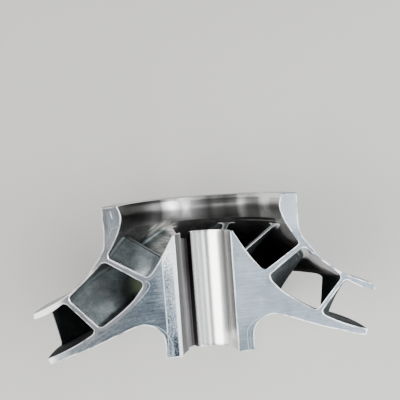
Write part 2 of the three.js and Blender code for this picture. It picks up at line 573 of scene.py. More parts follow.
@dataclass(frozen=True)
class CutSteel:
    """The sawn and ground cut face.

    The right-hand side is smooth, with fine lines across the shaft axis. On the left-hand side the disc is rubbed
    in arcs about a point below the boss, and the metal beside the bore is grained and has a white strip at its
    edge. A highlight is painted along the face's edge. The edge attribute is the distance from the face's edge,
    and the glint attribute the brightness of the scratches.

    Attributes:
        name: the material's name.
        shades: the metal's colour over its tone, from dark to bright.
        right_tone: tone of the right-hand side.
        disc_tone: tone of the disc on the left.
        strip_tone: tone of the grained strip.
        white_tone: tone of the white strip.
        border_tone: tone of the border round the passages on the left.
        ring_tones: tones of the eye ring, on the left and on the right.
        outer_tint: tint of the disc far out on the left.
        border_tint: tint of the border.
        tip: colour of the tips of the discs on the left.
        rub_centre: middle of the arcs, across and along the shaft axis.
        grained_from: place across the shaft axis where the grained strip begins.
        white_from: place across the shaft axis where the white strip begins.
    """

    name: str = "cut_steel"
    shades: tuple[tuple[float, Colour], ...] = (
        (0.0, (0.02, 0.026, 0.034)),
        (0.25, (0.085, 0.105, 0.125)),
        (0.5, (0.25, 0.297, 0.34)),
        (0.75, (0.475, 0.533, 0.585)),
        (1.0, (0.98, 0.99, 1.0)),
    )
    right_tone: float = 0.49
    disc_tone: float = 0.2
    strip_tone: float = 0.32
    white_tone: float = 0.93
    border_tone: float = 0.31
    ring_tones: Pair = (0.34, 0.6)
    outer_tint: Colour = (1.05, 1.0, 0.95)
    border_tint: Colour = (1.12, 1.0, 0.98)
    tip: Colour = (0.98, 0.96, 0.93)
    rub_centre: Pair = (-60.0, -95.0)
    grained_from: float = -52.4
    white_from: float = -39.6

    def material(self, lie: Lie) -> bpy.types.Material:
        """Builds the material."""
        g = Graph(self.name, lie)
        across, along, above = g.split
        edge = g.attribute("edge")
        lines = g.noise(g.vector(across * 0.012, along * 0.9, above), 1.0, 3.0, 0.6)
        clouds = g.noise(g.spot, 0.03, 5.0, 0.6, 0.6)
        left = across.between(-20.0, -30.0)
        tone = self._right(g, lines, clouds) * (1 - left) + self._left(g, clouds) * left
        ring = along.between(142.0, 158.0) * abs(across).between(80.0, 90.0)
        on_left, on_right = self.ring_tones
        ring_tone = on_left + across.between(-5.0, 5.0) * (on_right - on_left)
        tone = tone + ring * (ring_tone - tone + self._edge_lines(g, edge))
        border = self._border(g, edge)
        border_tone = self.border_tone + (clouds - 0.5) * 0.3
        tone = tone + border * (border_tone - tone + self._edge_lines(g, edge) * 0.8)
        # Painted highlight along the face's edge, broken into pieces, where the broken edge catches the light.
        breaks = g.noise(g.spot, 0.06, 3.0, 0.6).between(0.3, 0.55)
        rim = edge.between(1.5, 0.7) * (0.25 + breaks * 0.75) * (1 - border * 0.15)
        tone = g.larger(g.larger(tone, rim * 0.95), g.attribute("glint"))
        colour = g.ramp(tone, self.shades)
        outer = across.between(-72.0, -105.0)
        colour = g.mixed(outer, colour, g.tinted(colour, self.outer_tint))
        colour = g.mixed(border, colour, g.tinted(colour, self.border_tint))
        tips = (across + along.between(52.0, 36.0) * 12.0).between(-176.0, -188.0)
        colour = g.mixed(tips * 0.8, colour, self.tip)
        roughness = 0.38 + (lines - 0.5) * 0.2 - rim * 0.08
        return g.finish(colour, roughness, g.bump(lines * 0.5 + clouds, 0.00005))

    def _right(self, g: Graph, lines: Value, clouds: Value) -> Value:
        """Tone of the right-hand side: lightest beside the bore, darker low on the boss and far out."""
        across, along, _ = g.split
        low = along.between(44.0, 20.0) * across.between(66.0, 54.0)
        outer = across.between(62.0, 80.0) * 0.05 + across.between(105.0, 130.0) * 0.04
        scuffs = g.noise(g.vector(across * 0.05, along * 0.35, 7.0), 1.0, 4.0, 0.6, 0.4)
        beside = across.between(56.0, 40.0) * along.between(95.0, 60.0)
        pattern = (lines - 0.5) * 0.25 + (clouds - 0.5) * 0.32 + (scuffs - 0.5) * 0.24
        return self.right_tone + pattern + beside * 0.05 - low * 0.17 - outer

    def _left(self, g: Graph, clouds: Value) -> Value:
        """Tone of the left-hand side: the disc, the grained strip over it and the white strip over both."""
        across, _, _ = g.split
        grain = g.noise(g.spot, 0.55, 3.0, 0.7)
        disc = self._disc(g, clouds)
        grained = across.between(self.grained_from - 0.4, self.grained_from + 0.4)
        tone = disc + (self._strip(g, grain) - disc) * grained
        white = across.between(self.white_from - 0.8, self.white_from + 0.5)
        return tone + (self.white_tone + (grain - 0.5) * 0.3 - tone) * white

    def _disc(self, g: Graph, clouds: Value) -> Value:
        """Tone of the disc on the left: arcs of sqrt(dx^2 + dy^2) about the rub's centre, clouds and specks."""
        across, along, _ = g.split
        middle_across, middle_along = self.rub_centre
        sweep = ((across - middle_across) ** 2.0 + (along - middle_along) ** 2.0) ** 0.5
        rubbed = g.noise(g.vector(sweep * 0.5, across * 0.022, along * 0.022), 1.0, 4.0, 0.65, 0.3)
        fine = g.noise(g.vector(sweep * 1.6, across * 0.05, 3.0), 1.0, 2.0, 0.6)
        mottle = g.noise(g.spot, 0.3, 4.0, 0.7, 0.6)
        specks = g.noise(g.spot, 0.8, 3.0, 0.7).between(0.6, 0.72)
        pattern = (rubbed - 0.5) * 0.5 + (fine - 0.5) * 0.35 + (clouds - 0.5) * 0.2 + (mottle - 0.5) * 0.35
        beside_strip = across.between(-70.0, -53.0) * along.between(52.0, 78.0) * 0.16
        far_out = across.between(-98.0, -120.0) * 0.05 + across.between(-165.0, -185.0) * 0.25
        return self.disc_tone + pattern + beside_strip + far_out + specks * 0.16

    def _strip(self, g: Graph, grain: Value) -> Value:
        """Tone of the grained strip beside the bore, which is lighter and coarser high up."""
        across, along, _ = g.split
        upper = along.between(95.0, 135.0)
        flow = g.noise(g.vector(across * 0.4, along * 0.08, 5.0), 1.0, 3.0, 0.6)
        pattern = (grain - 0.5) * (1.8 + upper * 1.4) + (flow - 0.5) * 0.5
        lighter = upper * 0.48 + across.between(-50.0, -40.0) * 0.12 + along.between(30.0, 75.0) * 0.12
        worn_corner = across.between(-46.5, -44.5) * along.between(30.0, 24.0) * 0.3
        return self.strip_tone + pattern + lighter - worn_corner

    @staticmethod
    def _border(g: Graph, edge: Value) -> Value:
        """1 in the plain grey border round the passages on the left, which ends about 5 mm from their edge."""
        across, along, _ = g.split
        above_disc = (along - 57.0 - (across + 95.0) * 0.45).between(-3.0, 3.0)
        return edge.between(5.6, 4.8) * above_disc * across.between(-58.0, -66.0) * across.between(-182.0, -172.0)

    @staticmethod
    def _edge_lines(g: Graph, edge: Value) -> Value:
        """Faint lines that keep their distance from the edge."""
        across, along, _ = g.split
        return (g.noise(g.vector(edge * 0.8, across * 0.02, along * 0.02), 1.0, 3.0, 0.6) - 0.5) * 0.35


@dataclass(frozen=True)
class TurnedSteel:
    """A surface turned on a lathe: fine rings round the shaft axis.

    Attributes:
        name: the material's name.
        colour: the metal's colour.
        roughness: how dull it is.
        ring_depth: height of the turning marks in metres.
        stain: strength of the cloudy stains.
        round_tones: factors of the colour at angles round the shaft axis, in degrees; on the bore, the key slot
        and the eye's band they are painted reflections and shade.
        height_tones: factors of the colour at heights along the shaft axis, in millimetres.
        streaks: strength of the fine streaks along the shaft axis.
        lip_from: height above which a highlight is painted on the band's top on the right-hand side, with
        painted shade there on the left, or None.
        dull_left: how much duller it is on the left-hand side.
    """

    name: str
    colour: Colour
    roughness: float
    ring_depth: float
    stain: float
    round_tones: Stops = EVEN
    height_tones: Stops = EVEN
    streaks: float = 0.0
    lip_from: float | None = None
    dull_left: float = 0.0

    def material(self, lie: Lie) -> bpy.types.Material:
        """Builds the material."""
        g = Graph(self.name, lie)
        _, along, _ = g.split
        rings = g.noise(g.vector(g.radius * 1.3, along * 1.3, g.angle * 0.7), 1.0, 3.0, 0.6)
        bands = g.noise(g.vector(g.radius * 0.16, along * 0.16, g.angle * 0.15), 1.0, 4.0, 0.7)
        clouds = g.noise(g.spot, 0.025, 5.0, 0.6, 0.8)
        tone = 1.0 + (clouds - 0.5) * self.stain + (rings - 0.5) * 0.12 + (bands - 0.5) * self.stain
        if self.streaks:
            fine = g.noise(g.vector(g.angle * 22.0, along * 0.006, 0.0), 1.0, 4.0, 0.6)
            tone = tone + (fine - 0.5) * self.streaks
        # Tones round the shaft axis and along it. On the eye's band both are painted reflections and shade; on
        # the bore and the key slot the tones round the axis are.
        if self.round_tones is not EVEN:
            tone = tone * g.over(g.degrees, HALF_TURN, self.round_tones)
        if self.height_tones is not EVEN:
            tone = tone * g.over(along, TOP, self.height_tones)
        # Painted highlight on the band's rounded top on the right-hand side, and painted shade there on the left.
        if self.lip_from is not None:
            lip = along.between(self.lip_from, self.lip_from + 3.0)
            painted_marks = g.degrees.between(108.0, 96.0)
            tone = g.smaller(tone * (1 + lip * (painted_marks * 3.5 - 0.7)), 1.0)
        colour = g.shaded(self.colour, tone)
        roughness = self.roughness + (clouds - 0.5) * self.stain * 0.6 + (rings - 0.5) * 0.08
        if self.dull_left:
            roughness = roughness + g.degrees.between(136.0, 146.0) * self.dull_left
        return g.finish(colour, roughness, g.bump(rings, self.ring_depth))


@dataclass(frozen=True)
class FlowSteel:
    """The dull, stained metal that the water runs along.

    Attributes:
        name: the material's name.
        clean: colour where it is clean.
        stained: colour of the stains.
        roughness: how dull it is.
        round_tones: painted light and shade, as factors of the colour at angles round the shaft axis, in degrees.
        smear: strength of the pale scratched patch under the eye band, on the left.
        beside_cut: strength of the painted pool of light beside the cut on the right, and of the painted
        highlight line under the eye's band.
        wear_light_and_shade: strength of the wear, stains, painted highlights and painted light and shade on
        the blades.
        grazing: how strongly the metal shines when it is seen at a flat angle.
        outer_tones: painted light and shade on the cut blade by the rim on the left, as factors of the colour
            over the height.
        inner_tones: painted light and shade on the other cut blade on the left, as factors of the colour over the
            distance to the left.
    """

    name: str
    clean: Colour
    stained: Colour
    roughness: float
    round_tones: Stops = EVEN
    smear: float = 0.0
    beside_cut: float = 0.0
    wear_light_and_shade: float = 0.0
    grazing: float = 0.35
    outer_tones: Stops = ((0.0, 0.64), (76.0, 0.66), (90.0, 1.15), (103.0, 2.1), (110.0, 2.2))
    inner_tones: Stops = ((0.0, 1.6), (66.0, 1.75), (80.0, 1.25), (88.0, 0.72), (110.0, 0.78))

    def material(self, lie: Lie) -> bpy.types.Material:
        """Builds the material."""
        g = Graph(self.name, lie)
        clouds = g.noise(g.spot, 0.05, 6.0, 0.7, 0.25)
        specks = g.noise(g.spot, 0.4, 5.0, 0.75)
        colour = g.mixed(clouds.between(0.36, 0.62), self.clean, self.stained)
        tone = 0.45 + specks * 1.1
        roughness = self.roughness + (clouds - 0.5) * 0.25
        # Painted light and shade round the shaft axis; the surface is also duller where it is painted dark.
        if self.round_tones is not EVEN:
            share = g.over(g.degrees, HALF_TURN, self.round_tones)
            tone = tone * share
            roughness = roughness + share.between(0.6, 0.1) * 0.25
        colour = g.shaded(colour, tone)
        metal: Number = 1.0
        if self.smear:
            smear = self._smear(g) * self.smear
            colour = g.mixed(smear, colour, WATER_MARK)
            metal = metal - smear * 0.5
        # Painted pool of light beside the cut on the right, and a painted highlight line under the eye's band.
        if self.beside_cut:
            strip = self._beside_cut(g) * self.beside_cut
            colour = g.mixed(strip, colour, PAINTED_LIGHT_GREY)
            colour = g.mixed(self._highlight_under_band(g) * 0.35, colour, BAND_EDGE_HIGHLIGHT)
            metal = metal - strip * 0.7
        if self.wear_light_and_shade:
            colour, metal = self._wear_and_painted_light(g, colour)
        return g.finish(colour, roughness, g.bump(specks, 0.0001), metal, self.grazing)

    @staticmethod
    def _smear(g: Graph) -> Value:
        """The pale patch: slanting scratches between two angles and two heights."""
        _, along, _ = g.split
        patch = g.degrees.between(103.0, 110.0) * g.degrees.between(132.0, 126.0) * along.between(136.0, 146.0)
        slant = g.noise(g.vector(along * 0.3 + g.degrees * 0.3, g.degrees * 0.03, 0.0), 1.0, 4.0, 0.65, 0.5)
        return patch * (0.25 + slant.between(0.44, 0.62) * 0.75)

    @staticmethod
    def _highlight_under_band(g: Graph) -> Value:
        """The painted highlight: a thin light line under the eye's band, on the right."""
        _, along, _ = g.split
        return along.between(157.0, 157.8) * along.between(159.2, 158.4) * g.degrees.between(60.0, 45.0)

    @staticmethod
    def _beside_cut(g: Graph) -> Value:
        """The painted pool of light: down to about 20 degrees under the cut, less near the rim and under the eye.
        """
        _, along, _ = g.split
        wave = (g.noise(g.spot, 0.12, 3.0, 0.6) - 0.5) * 8.0
        fine = g.noise(g.vector(along * 0.25, g.degrees * 0.9, 2.0), 1.0, 4.0, 0.65)
        under = (g.degrees + wave + along.between(93.0, 76.0) * 12.0).between(22.0, 18.0)
        return under * (along.between(118.0, 112.0) + along.between(128.0, 135.0) * 0.25) * (0.6 + fine * 0.6)

    def _wear_and_painted_light(self, g: Graph, colour: Any) -> tuple[Any, Number]:
        """Wear, stains and painted light and shade on the blades.

        On the right the leading edge's front is painted lit grey between two painted highlights, in the middle it
        is hazy and on the left it is painted dark with a thin line of painted shade. The fillet at the shroud has
        painted light on the right and painted shade on the left, the trailing edge a painted highlight, deep in
        the second passage on the left lies a painted pool of greenish light, and the passages carry painted light
        and shade. The attributes lead, head and tail are the distances from the leading edge, the shroud and the
        trailing edge.

        Args:
            g: the material.
            colour: the colour without the wear.

        Returns:
            The colour, and how much of it is bare metal.
        """
        lead, head, tail = g.attribute("lead"), g.attribute("head"), g.attribute("tail")
        right = g.degrees.between(97.0, 86.0) * self.wear_light_and_shade
        left = g.degrees.between(128.0, 138.0) * self.wear_light_and_shade
        # Painted highlights along the two corners of the leading edge on the right.
        lines = lead.between(0.2, 0.6) * lead.between(2.5, 1.7) * right
        haze = self._haze(g, lead, head)
        light = self._painted_fillet_light(g, lead, head)
        greenish = self._greenish_light(g) * left
        # Painted light and shade in the passages on the left.
        colour = g.shaded(colour, self._passage_light_and_shade(g, lead, tail))
        # The leading edge's front on the right, painted lit grey, and its two painted highlights.
        colour = g.mixed(lead.between(1.9, 1.1) * right, colour, LIT_FRONT_GREY)
        colour = g.mixed(lines, colour, EDGE_HIGHLIGHT)
        colour = g.mixed(haze, colour, DUSTY)
        # Painted light on the fillet at the shroud on the right.
        colour = g.mixed(light, colour, FILLET_LIGHT)
        # Painted highlight along the trailing edge.
        colour = g.mixed(tail.between(1.6, 0.9) * 0.6, colour, TAIL_HIGHLIGHT)
        # Painted shade on the leading edge on the left, with a thin dark line of painted shade.
        colour = g.mixed(lead.between(2.0, 1.2) * left * 0.8, colour, SHADED_EDGE)
        colour = g.mixed(lead.between(1.9, 1.5) * lead.between(0.8, 1.1) * left, colour, SHADE_LINE)
        # Painted shade on the fillet at the shroud on the left.
        colour = g.mixed(head.between(8.0, 4.0) * left * 0.6, colour, SHADED_FILLET)
        # Painted pool of greenish light deep in the second passage on the left.
        colour = g.mixed(greenish * 0.9, colour, GREENISH)
        scattering = g.larger(g.larger(lines * 0.6, haze * 0.7), g.larger(light * 0.7, greenish * 0.6))
        return colour, 1 - scattering

    def _haze(self, g: Graph, lead: Value, head: Value) -> Value:
        """The haze on the middle blades: slanting rubbed marks at the leading edge and towards the hub."""
        middle = g.degrees.between(88.0, 100.0) * g.degrees.between(146.0, 136.0) * self.wear_light_and_shade
        rubbed = g.noise(g.vector(head * 0.3 + lead * 0.3, (lead - head) * 0.04, 6.0), 1.0, 4.0, 0.65, 0.5)
        inward = lead.between(50.0, 25.0) * head.between(6.0, 20.0) * (0.25 + rubbed.between(0.36, 0.62) * 0.75)
        return g.larger(lead.between(7.0, 0.5) * rubbed.between(0.3, 0.55), inward) * middle * 0.85

    def _painted_fillet_light(self, g: Graph, lead: Value, head: Value) -> Value:
        """Painted light on the fillet at the shroud beside the cut on the right, and streaks that run down from
        it.
        """
        _, along, _ = g.split
        beside = g.degrees.between(26.0, 18.0) * along.between(78.0, 94.0) * self.wear_light_and_shade
        streaks = g.noise(g.vector(head * 0.5, lead * 0.03, 4.0), 1.0, 3.0, 0.6).between(0.52, 0.66)
        return g.larger(head.between(6.5, 4.0) * 0.9, streaks * head.between(24.0, 8.0) * 0.35) * beside

    @staticmethod
    def _greenish_light(g: Graph) -> Value:
        """A painted pool of greenish light deep in the second passage on the left."""
        across, along, _ = g.split
        return across.between(-109.0, -83.0) * along.between(104.0, 90.0) * along.between(72.0, 82.0)

    def _passage_light_and_shade(self, g: Graph, lead: Value, tail: Value) -> Value:
        """Painted light and shade in the passages on the left, as a factor of the colour: painted shade deep
        inside, and uneven painted light and shade towards the cut.
        """
        across, along, _ = g.split
        deep = across.between(-119.0, -101.0) * lead.between(30.0, 50.0) * g.degrees.between(98.0, 108.0)
        ending = tail.between(75.0, 55.0) * g.degrees.between(100.0, 120.0)
        outer = g.over(along, LEFT_REACH, self.outer_tones)
        inner = g.over(0 - across, LEFT_REACH, self.inner_tones)
        blend = along.between(106.0, 118.0)
        left = g.degrees.between(138.0, 148.0) * self.wear_light_and_shade
        # Painted light and shade on the two cut blades on the left.
        even = 1 + (outer * (1 - blend) + inner * blend - 1) * left
        return (1 - g.larger(deep * 0.75, ending * 0.7)) * even


# Meshes

@dataclass
class Skin:
    """A mesh in the making.

    Attributes:
        points: places across, along and above the shaft axis, one row each.
        faces: point numbers of each face.
        finishes: number of each face's material.
        numbers: what the finishes read at each point, by name.
    """

    points: Array
    faces: list[Sequence[int]] = field(default_factory=list)
    finishes: list[int] = field(default_factory=list)
    numbers: dict[str, Array] = field(default_factory=dict)

    def add_faces(self, faces: Array | Sequence[Sequence[int]], finishes: int | Array) -> None:
        """Adds faces, with one material number for all or one for each."""
        listed = faces.tolist() if isinstance(faces, np.ndarray) else list(faces)
        self.faces += listed
        self.finishes += np.broadcast_to(finishes, len(listed)).astype(int).tolist()

    def build(
        self, name: str, lie: Lie, materials: Sequence[bpy.types.Material], crease: float = 32.0
    ) -> bpy.types.Object:
        """Makes the object.

        Doubles are merged, faces turned outwards and edges sharper than the crease angle kept sharp.

        Args:
            name: the object's name.
            lie: how the piece lies.
            materials: the finishes that the faces number.
            crease: angle in degrees above which an edge stays sharp.

        Returns:
            The object, with its place in its mesh.
        """
        mesh = bpy.data.meshes.new(name)
        mesh.from_pydata(lie.place(self.points).tolist(), [], self.faces)
        mesh.polygons.foreach_set("material_index", self.finishes)
        for key, values in self.numbers.items():
            mesh.attributes.new(key, "FLOAT", "POINT").data.foreach_set("value", values.astype(np.float32))
        work = bmesh.new()
        work.from_mesh(mesh)
        bmesh.ops.remove_doubles(work, verts=work.verts, dist=SAME_SPOT)
        bmesh.ops.recalc_face_normals(work, faces=work.faces)
        work.to_mesh(mesh)
        work.free()
        mesh.polygons.foreach_set("use_smooth", np.ones(len(mesh.polygons), bool))
        mesh.set_sharp_from_angle(angle=math.radians(crease))
        for material in materials:
            mesh.materials.append(material)
        made = bpy.data.objects.new(name, mesh)
        bpy.context.scene.collection.objects.link(made)
        return made


def grid_faces(rows: int, columns: int, closed_rows: bool, closed_columns: bool = False) -> Array:
    """Four-sided faces of a grid of points that is numbered row by row.

    Args:
        rows: number of rows.
        columns: number of columns.
        closed_rows: whether the last row joins the first.
        closed_columns: whether the last column joins the first.

    Returns:
        Point numbers, one row for each face.
    """
    first = np.arange(rows if closed_rows else rows - 1)
    second = np.arange(columns if closed_columns else columns - 1)
    i, j = (part.ravel() for part in np.meshgrid(first, second, indexing="ij"))
    below, right = (i + 1) % rows, (j + 1) % columns
    return np.stack([i * columns + j, below * columns + j, below * columns + right, i * columns + right], axis=-1)


# Turned bodies

@dataclass(frozen=True)
class KeySlot:
    """The slot for the key, along the whole bore.

    Attributes:
        width: width of the slot.
        depth: depth of its floor under the bore.
        angle: angle of its middle round the shaft axis, in degrees.
        floor_round: radius of the corners of its floor.
        mouth: width of the broken edges at its mouth.
    """

    width: float = 16.0
    depth: float = 7.7
    angle: float = 127.3
    floor_round: float = 0.7
    mouth: float = 0.4

    def section(self, bore: float) -> tuple[Array, Array]:
        """The slot's wall and floor as seen along the shaft axis.

        Args:
            bore: radius of the bore.

        Returns:
            Angles from the slot's middle in radians, growing, and the distances from the shaft axis at them.
        """
        half = self.width / 2
        floor = bore + self.depth
        edge = math.sqrt(bore ** 2 - half ** 2)
        turn = np.radians(np.linspace(0, 90, 4))
        soft_across = half - self.floor_round + self.floor_round * np.sin(turn)
        soft_out = floor - self.floor_round + self.floor_round * np.cos(turn)
        mouth_angle = math.asin(half / bore) + self.mouth / bore
        mouth = np.array([[bore * math.sin(mouth_angle), bore * math.cos(mouth_angle)]])
        wall = np.stack([np.full(4, half), np.linspace(floor - 1.6, edge + self.mouth, 4)], axis=-1)
        floor_line = np.stack([np.linspace(0, half - self.floor_round - 0.5, 5), np.full(5, floor)], axis=-1)
        right = np.concatenate([floor_line, np.stack([soft_across, soft_out], axis=-1), wall, mouth])
        whole = np.concatenate([right[:0:-1] * np.array([-1.0, 1.0]), right])
        return np.arctan2(whole[:, 0], whole[:, 1]), np.hypot(whole[:, 0], whole[:, 1])


@dataclass(frozen=True)
class TurnedBody:
    """What the hub and the shroud have in common: an outline turned round the shaft axis, below the cut.

    Attributes:
        depth: depth of the body's flat top under the shaft axis.
        step: angle between columns of points, in degrees.
        gather: angle over which the first and last columns turn to meet the flat top, in radians.
        rim_round: rounding of the rim's edges.
        flow_corners: points of the flow surface, from the eye to the rim.
    """

    depth: float
    step: float = 1.3
    gather: float = 0.35
    rim_round: float = 0.7
    flow_corners: tuple[Pair, ...] = ()

    @cached_property
    def flow(self) -> SmoothCurve:
        """The flow surface's outline."""
        return SmoothCurve(self.flow_corners)

    def columns(self, slot: KeySlot | None = None, bore: float = 0.0) -> tuple[Array, Array]:
        """Angles of the columns of points, and the distance of the bore's wall from the shaft axis at each.

        Args:
            slot: the slot that the columns have to follow.
            bore: radius of the bore.

        Returns:
            Angles in radians and distances.
        """
        step = math.radians(self.step)
        if slot is None:
            angles = np.linspace(0, math.pi, int(math.pi / step))
            return angles, np.zeros_like(angles)
        turn, distance = slot.section(bore)
        turn = turn + math.radians(slot.angle)
        before = np.linspace(0, turn[0], int(turn[0] / step))[:-1]
        after = np.linspace(turn[-1], math.pi, int((math.pi - turn[-1]) / step))[1:]
        angles = np.concatenate([before, turn, after])
        walls = np.concatenate([np.full(len(before), bore), distance, np.full(len(after), bore)])
        return angles, walls

    def skin(self, radius: Array, height: Array, finishes: Array, angles: Array) -> Skin:
        """Turns rows of radius and height round the shaft axis, and closes the two flat ends.

        A point's angle is its column's angle. In the first and last columns the arcsine of depth over radius is
        added or taken away, less and less over the gather angle, so that the ends lie flat at the depth.

        Args:
            radius: radius of each point, rows by columns, or of each row.
            height: height of each point, in the same way.
            finishes: finish of each face, rows by columns less one, or of each row.
            angles: angle of each column.

        Returns:
            The closed skin.
        """
        radius, height, _ = np.broadcast_arrays(radius, height, angles)
        rows, columns = radius.shape
        finishes = np.broadcast_to(finishes, (rows, columns - 1))
        reach = np.arcsin(self.depth / radius)
        start = np.clip(1 - angles / self.gather, 0, 1)
        end = np.clip(1 - (math.pi - angles) / self.gather, 0, 1)
        turn = angles + reach * (start - end)
        points = np.stack([radius * np.cos(turn), height, -radius * np.sin(turn)], axis=-1)
        made = Skin(points.reshape(-1, 3))
        made.add_faces(grid_faces(rows, columns, closed_rows=True), finishes.ravel())
        first = np.arange(rows) * columns
        made.add_faces([first[::-1].tolist(), (first + columns - 1).tolist()], Surface.CUT)
        return made


@dataclass(frozen=True)
class Hub(TurnedBody):
    """The boss with the shaft bore, the nose, the flow surface and the disc.

    Attributes:
        bore: radius of the shaft bore.
        boss: radius of the boss.
        boss_top: height at which the straight side of the boss ends.
        nose: radius of the nose.
        nose_height: height of the nose.
        nose_round: rounding of the nose's outer edge.
        bore_round: rounding of the nose's inner edge.
        end_round: rounding of the edges at the boss's end.
        slot_reach: radius inside which the outline gives way to the key slot.
        back_corners: points of the back, from the rim to where it meets the boss.
        slot: the slot for the key.
    """

    bore: float = 35.0
    boss: float = 56.2
    boss_top: float = 18.0
    nose: float = NOSE[0]
    nose_height: float = NOSE[1]
    nose_round: float = 0.5
    bore_round: float = 0.6
    end_round: float = 0.9
    slot_reach: float = 46.0
    flow_corners: tuple[Pair, ...] = (
        NOSE, (48, 136.4), (58.6, 120), (73.1, 101.2), (86.8, 83), (95.7, 73.9), (110.5, 62.2), (136, 45.1),
        (162, 30), (186, 19.6), HUB_RIM,
    )
    back_corners: tuple[Pair, ...] = (
        (200, 6.2), (186, 9.3), (169.4, 15), (144, 22.8), (117.5, 33), (100, 39.6), (84, 44.2), (72, 42),
        (63.4, 36), (57.9, 28),
    )
    slot: KeySlot = KeySlot()

    @cached_property
    def back(self) -> Array:
        """The outline of the disc's back and the boss, from the rim to the bore."""
        top, end = (self.boss, self.boss_top), (self.boss, 0.0)
        curve = SmoothCurve((*self.back_corners, top)).at(np.linspace(0, 1, 90))
        return np.concatenate([curve, spaced(np.array([top, end]), 3.0)[1:]])

    def outline(self) -> tuple[Array, Array]:
        """The closed outline from the rim up the flow surface, down the bore and out over boss and back.

        Returns:
            Points of radius and height, and the finish of each row.
        """
        flow = self.flow.at(np.linspace(1, 0, 120))
        lip = np.array([(self.nose, self.nose_height), (self.bore, self.nose_height)])
        wall = spaced(np.array([(self.bore, self.nose_height), (self.bore, 0)]), 5.0)
        end = spaced(np.array([(self.bore, 0), (self.boss, 0)]), 4.0)
        rim = np.array([self.back_corners[0], self.flow_corners[-1]])
        return rounded_outline([
            Stretch(flow, Surface.FLOW, self.nose_round),
            Stretch(lip, Surface.EDGE, self.bore_round),
            Stretch(wall, Surface.BORED, self.end_round),
            Stretch(end, Surface.TURNED, self.end_round),
            Stretch(self.back[::-1], Surface.TURNED, self.rim_round),
            Stretch(rim, Surface.TURNED, self.rim_round),
        ])

    def build(self, lie: Lie, materials: Sequence[bpy.types.Material]) -> bpy.types.Object:
        """Makes the hub.

        At the slot the bore's wall lies further out. Rows of the outline that lie inside it move out to it, and
        where the slot's floor lies outside the nose they slide down the flow surface to where the two meet.

        Args:
            lie: how the piece lies.
            materials: the finishes, in the order of Surface.

        Returns:
            The object.
        """
        outline, row_finish = self.outline()
        angles, walls = self.columns(self.slot, self.bore)
        given = outline[:, :1]
        level = outline[:, 1:]
        outer = walls[None, :]
        meet = self.flow.at(self.flow.share_at_radius(np.maximum(walls, self.nose)))[:, 1]
        top = np.where(walls > self.nose, meet, np.inf)[None, :]
        at_end = level < 2 * self.end_round
        broken = np.clip(given - self.bore, 0, self.end_round) * at_end
        radius = np.where(given < self.slot_reach, np.maximum(given, outer + broken), given)
        height = np.where(radius > given + TINY, np.minimum(level, top), level)
        in_slot = np.maximum(walls[1:], walls[:-1])[None, :] > self.bore + self.slot.mouth
        bored = row_finish[:, None] == Surface.BORED
        finishes = np.where(in_slot & bored, Surface.SLOT, row_finish[:, None])
        return self.skin(radius, height, finishes, angles).build("hub_body", lie, materials)


@dataclass(frozen=True)
class Shroud(TurnedBody):
    """The eye ring and the curved cover over the blades.

    Attributes:
        eye_outer: outer radius of the eye ring.
        eye_top: height of the eye ring's end.
        ring_from: height at which the straight side of the eye ring begins.
        band_height: height down to which the eye is turned bright.
        end_round: rounding of the eye ring's edges.
        cover_corners: points of the outside, from the rim to the eye ring.
        neck_corners: further points, which lead up to the eye ring.
    """

    eye_outer: float = EYE_EDGE[0]
    eye_top: float = EYE_EDGE[1]
    ring_from: float = 158.0
    band_height: float = 162.0
    end_round: float = 0.8
    flow_corners: tuple[Pair, ...] = (
        (102.7, EYE_EDGE[1]), (99.6, 187), (98.8, 179.5), (102.6, 164.8), (110, 150), (120.3, 134.4),
        (138.3, 115.8), (162.1, 94.8), (180.7, 79.1), (193.6, 71), (203, 67), SHROUD_RIM,
    )
    cover_corners: tuple[Pair, ...] = (
        (215, 71.5), (195, 79.7), (175, 89.6), (156.8, 103.2), (146, 112.6), (135.2, 126.8), (127.4, 137.6),
    )
    neck_corners: tuple[Pair, ...] = ((124.2, 143.6), (122.8, 149))

    @cached_property
    def cover(self) -> Array:
        """The outside from the rim to the end of the eye ring."""
        begin, end = (self.eye_outer, self.ring_from), (self.eye_outer, self.eye_top)
        curve = SmoothCurve((*self.cover_corners, *self.neck_corners, begin)).at(np.linspace(0, 1, 80))
        return np.concatenate([curve, spaced(np.array([begin, end]), 4.0)[1:]])

    def outline(self) -> tuple[Array, Array]:
        """The closed outline from the eye along the flow surface to the rim and back over the cover.

        Returns:
            Points of radius and height, and the finish of each row.
        """
        flow = self.flow.at(np.linspace(0, 1, 130))
        band = flow[flow[:, 1] > self.band_height]
        rest = flow[len(band) - 1:]
        rim = np.array([self.flow_corners[-1], self.cover_corners[0]])
        end = spaced(np.array([(self.eye_outer, self.eye_top), self.flow_corners[0]]), 4.0)
        return rounded_outline([
            Stretch(band, Surface.BORED, 0.0),
            Stretch(rest, Surface.FLOW, self.rim_round),
            Stretch(rim, Surface.TURNED, self.rim_round),
            Stretch(self.cover, Surface.TURNED, self.end_round),
            Stretch(end, Surface.TURNED, self.end_round),
        ])

    def build(self, lie: Lie, materials: Sequence[bpy.types.Material]) -> bpy.types.Object:
        """Makes the shroud.

        Args:
            lie: how the piece lies.
            materials: the finishes, in the order of Surface; the eye's band is the bored one.

        Returns:
            The object.
        """
        outline, row_finish = self.outline()
        angles, _ = self.columns()
        made = self.skin(outline[:, :1], outline[:, 1:], row_finish[:, None], angles)
        return made.build("shroud_body", lie, materials)


# Blades

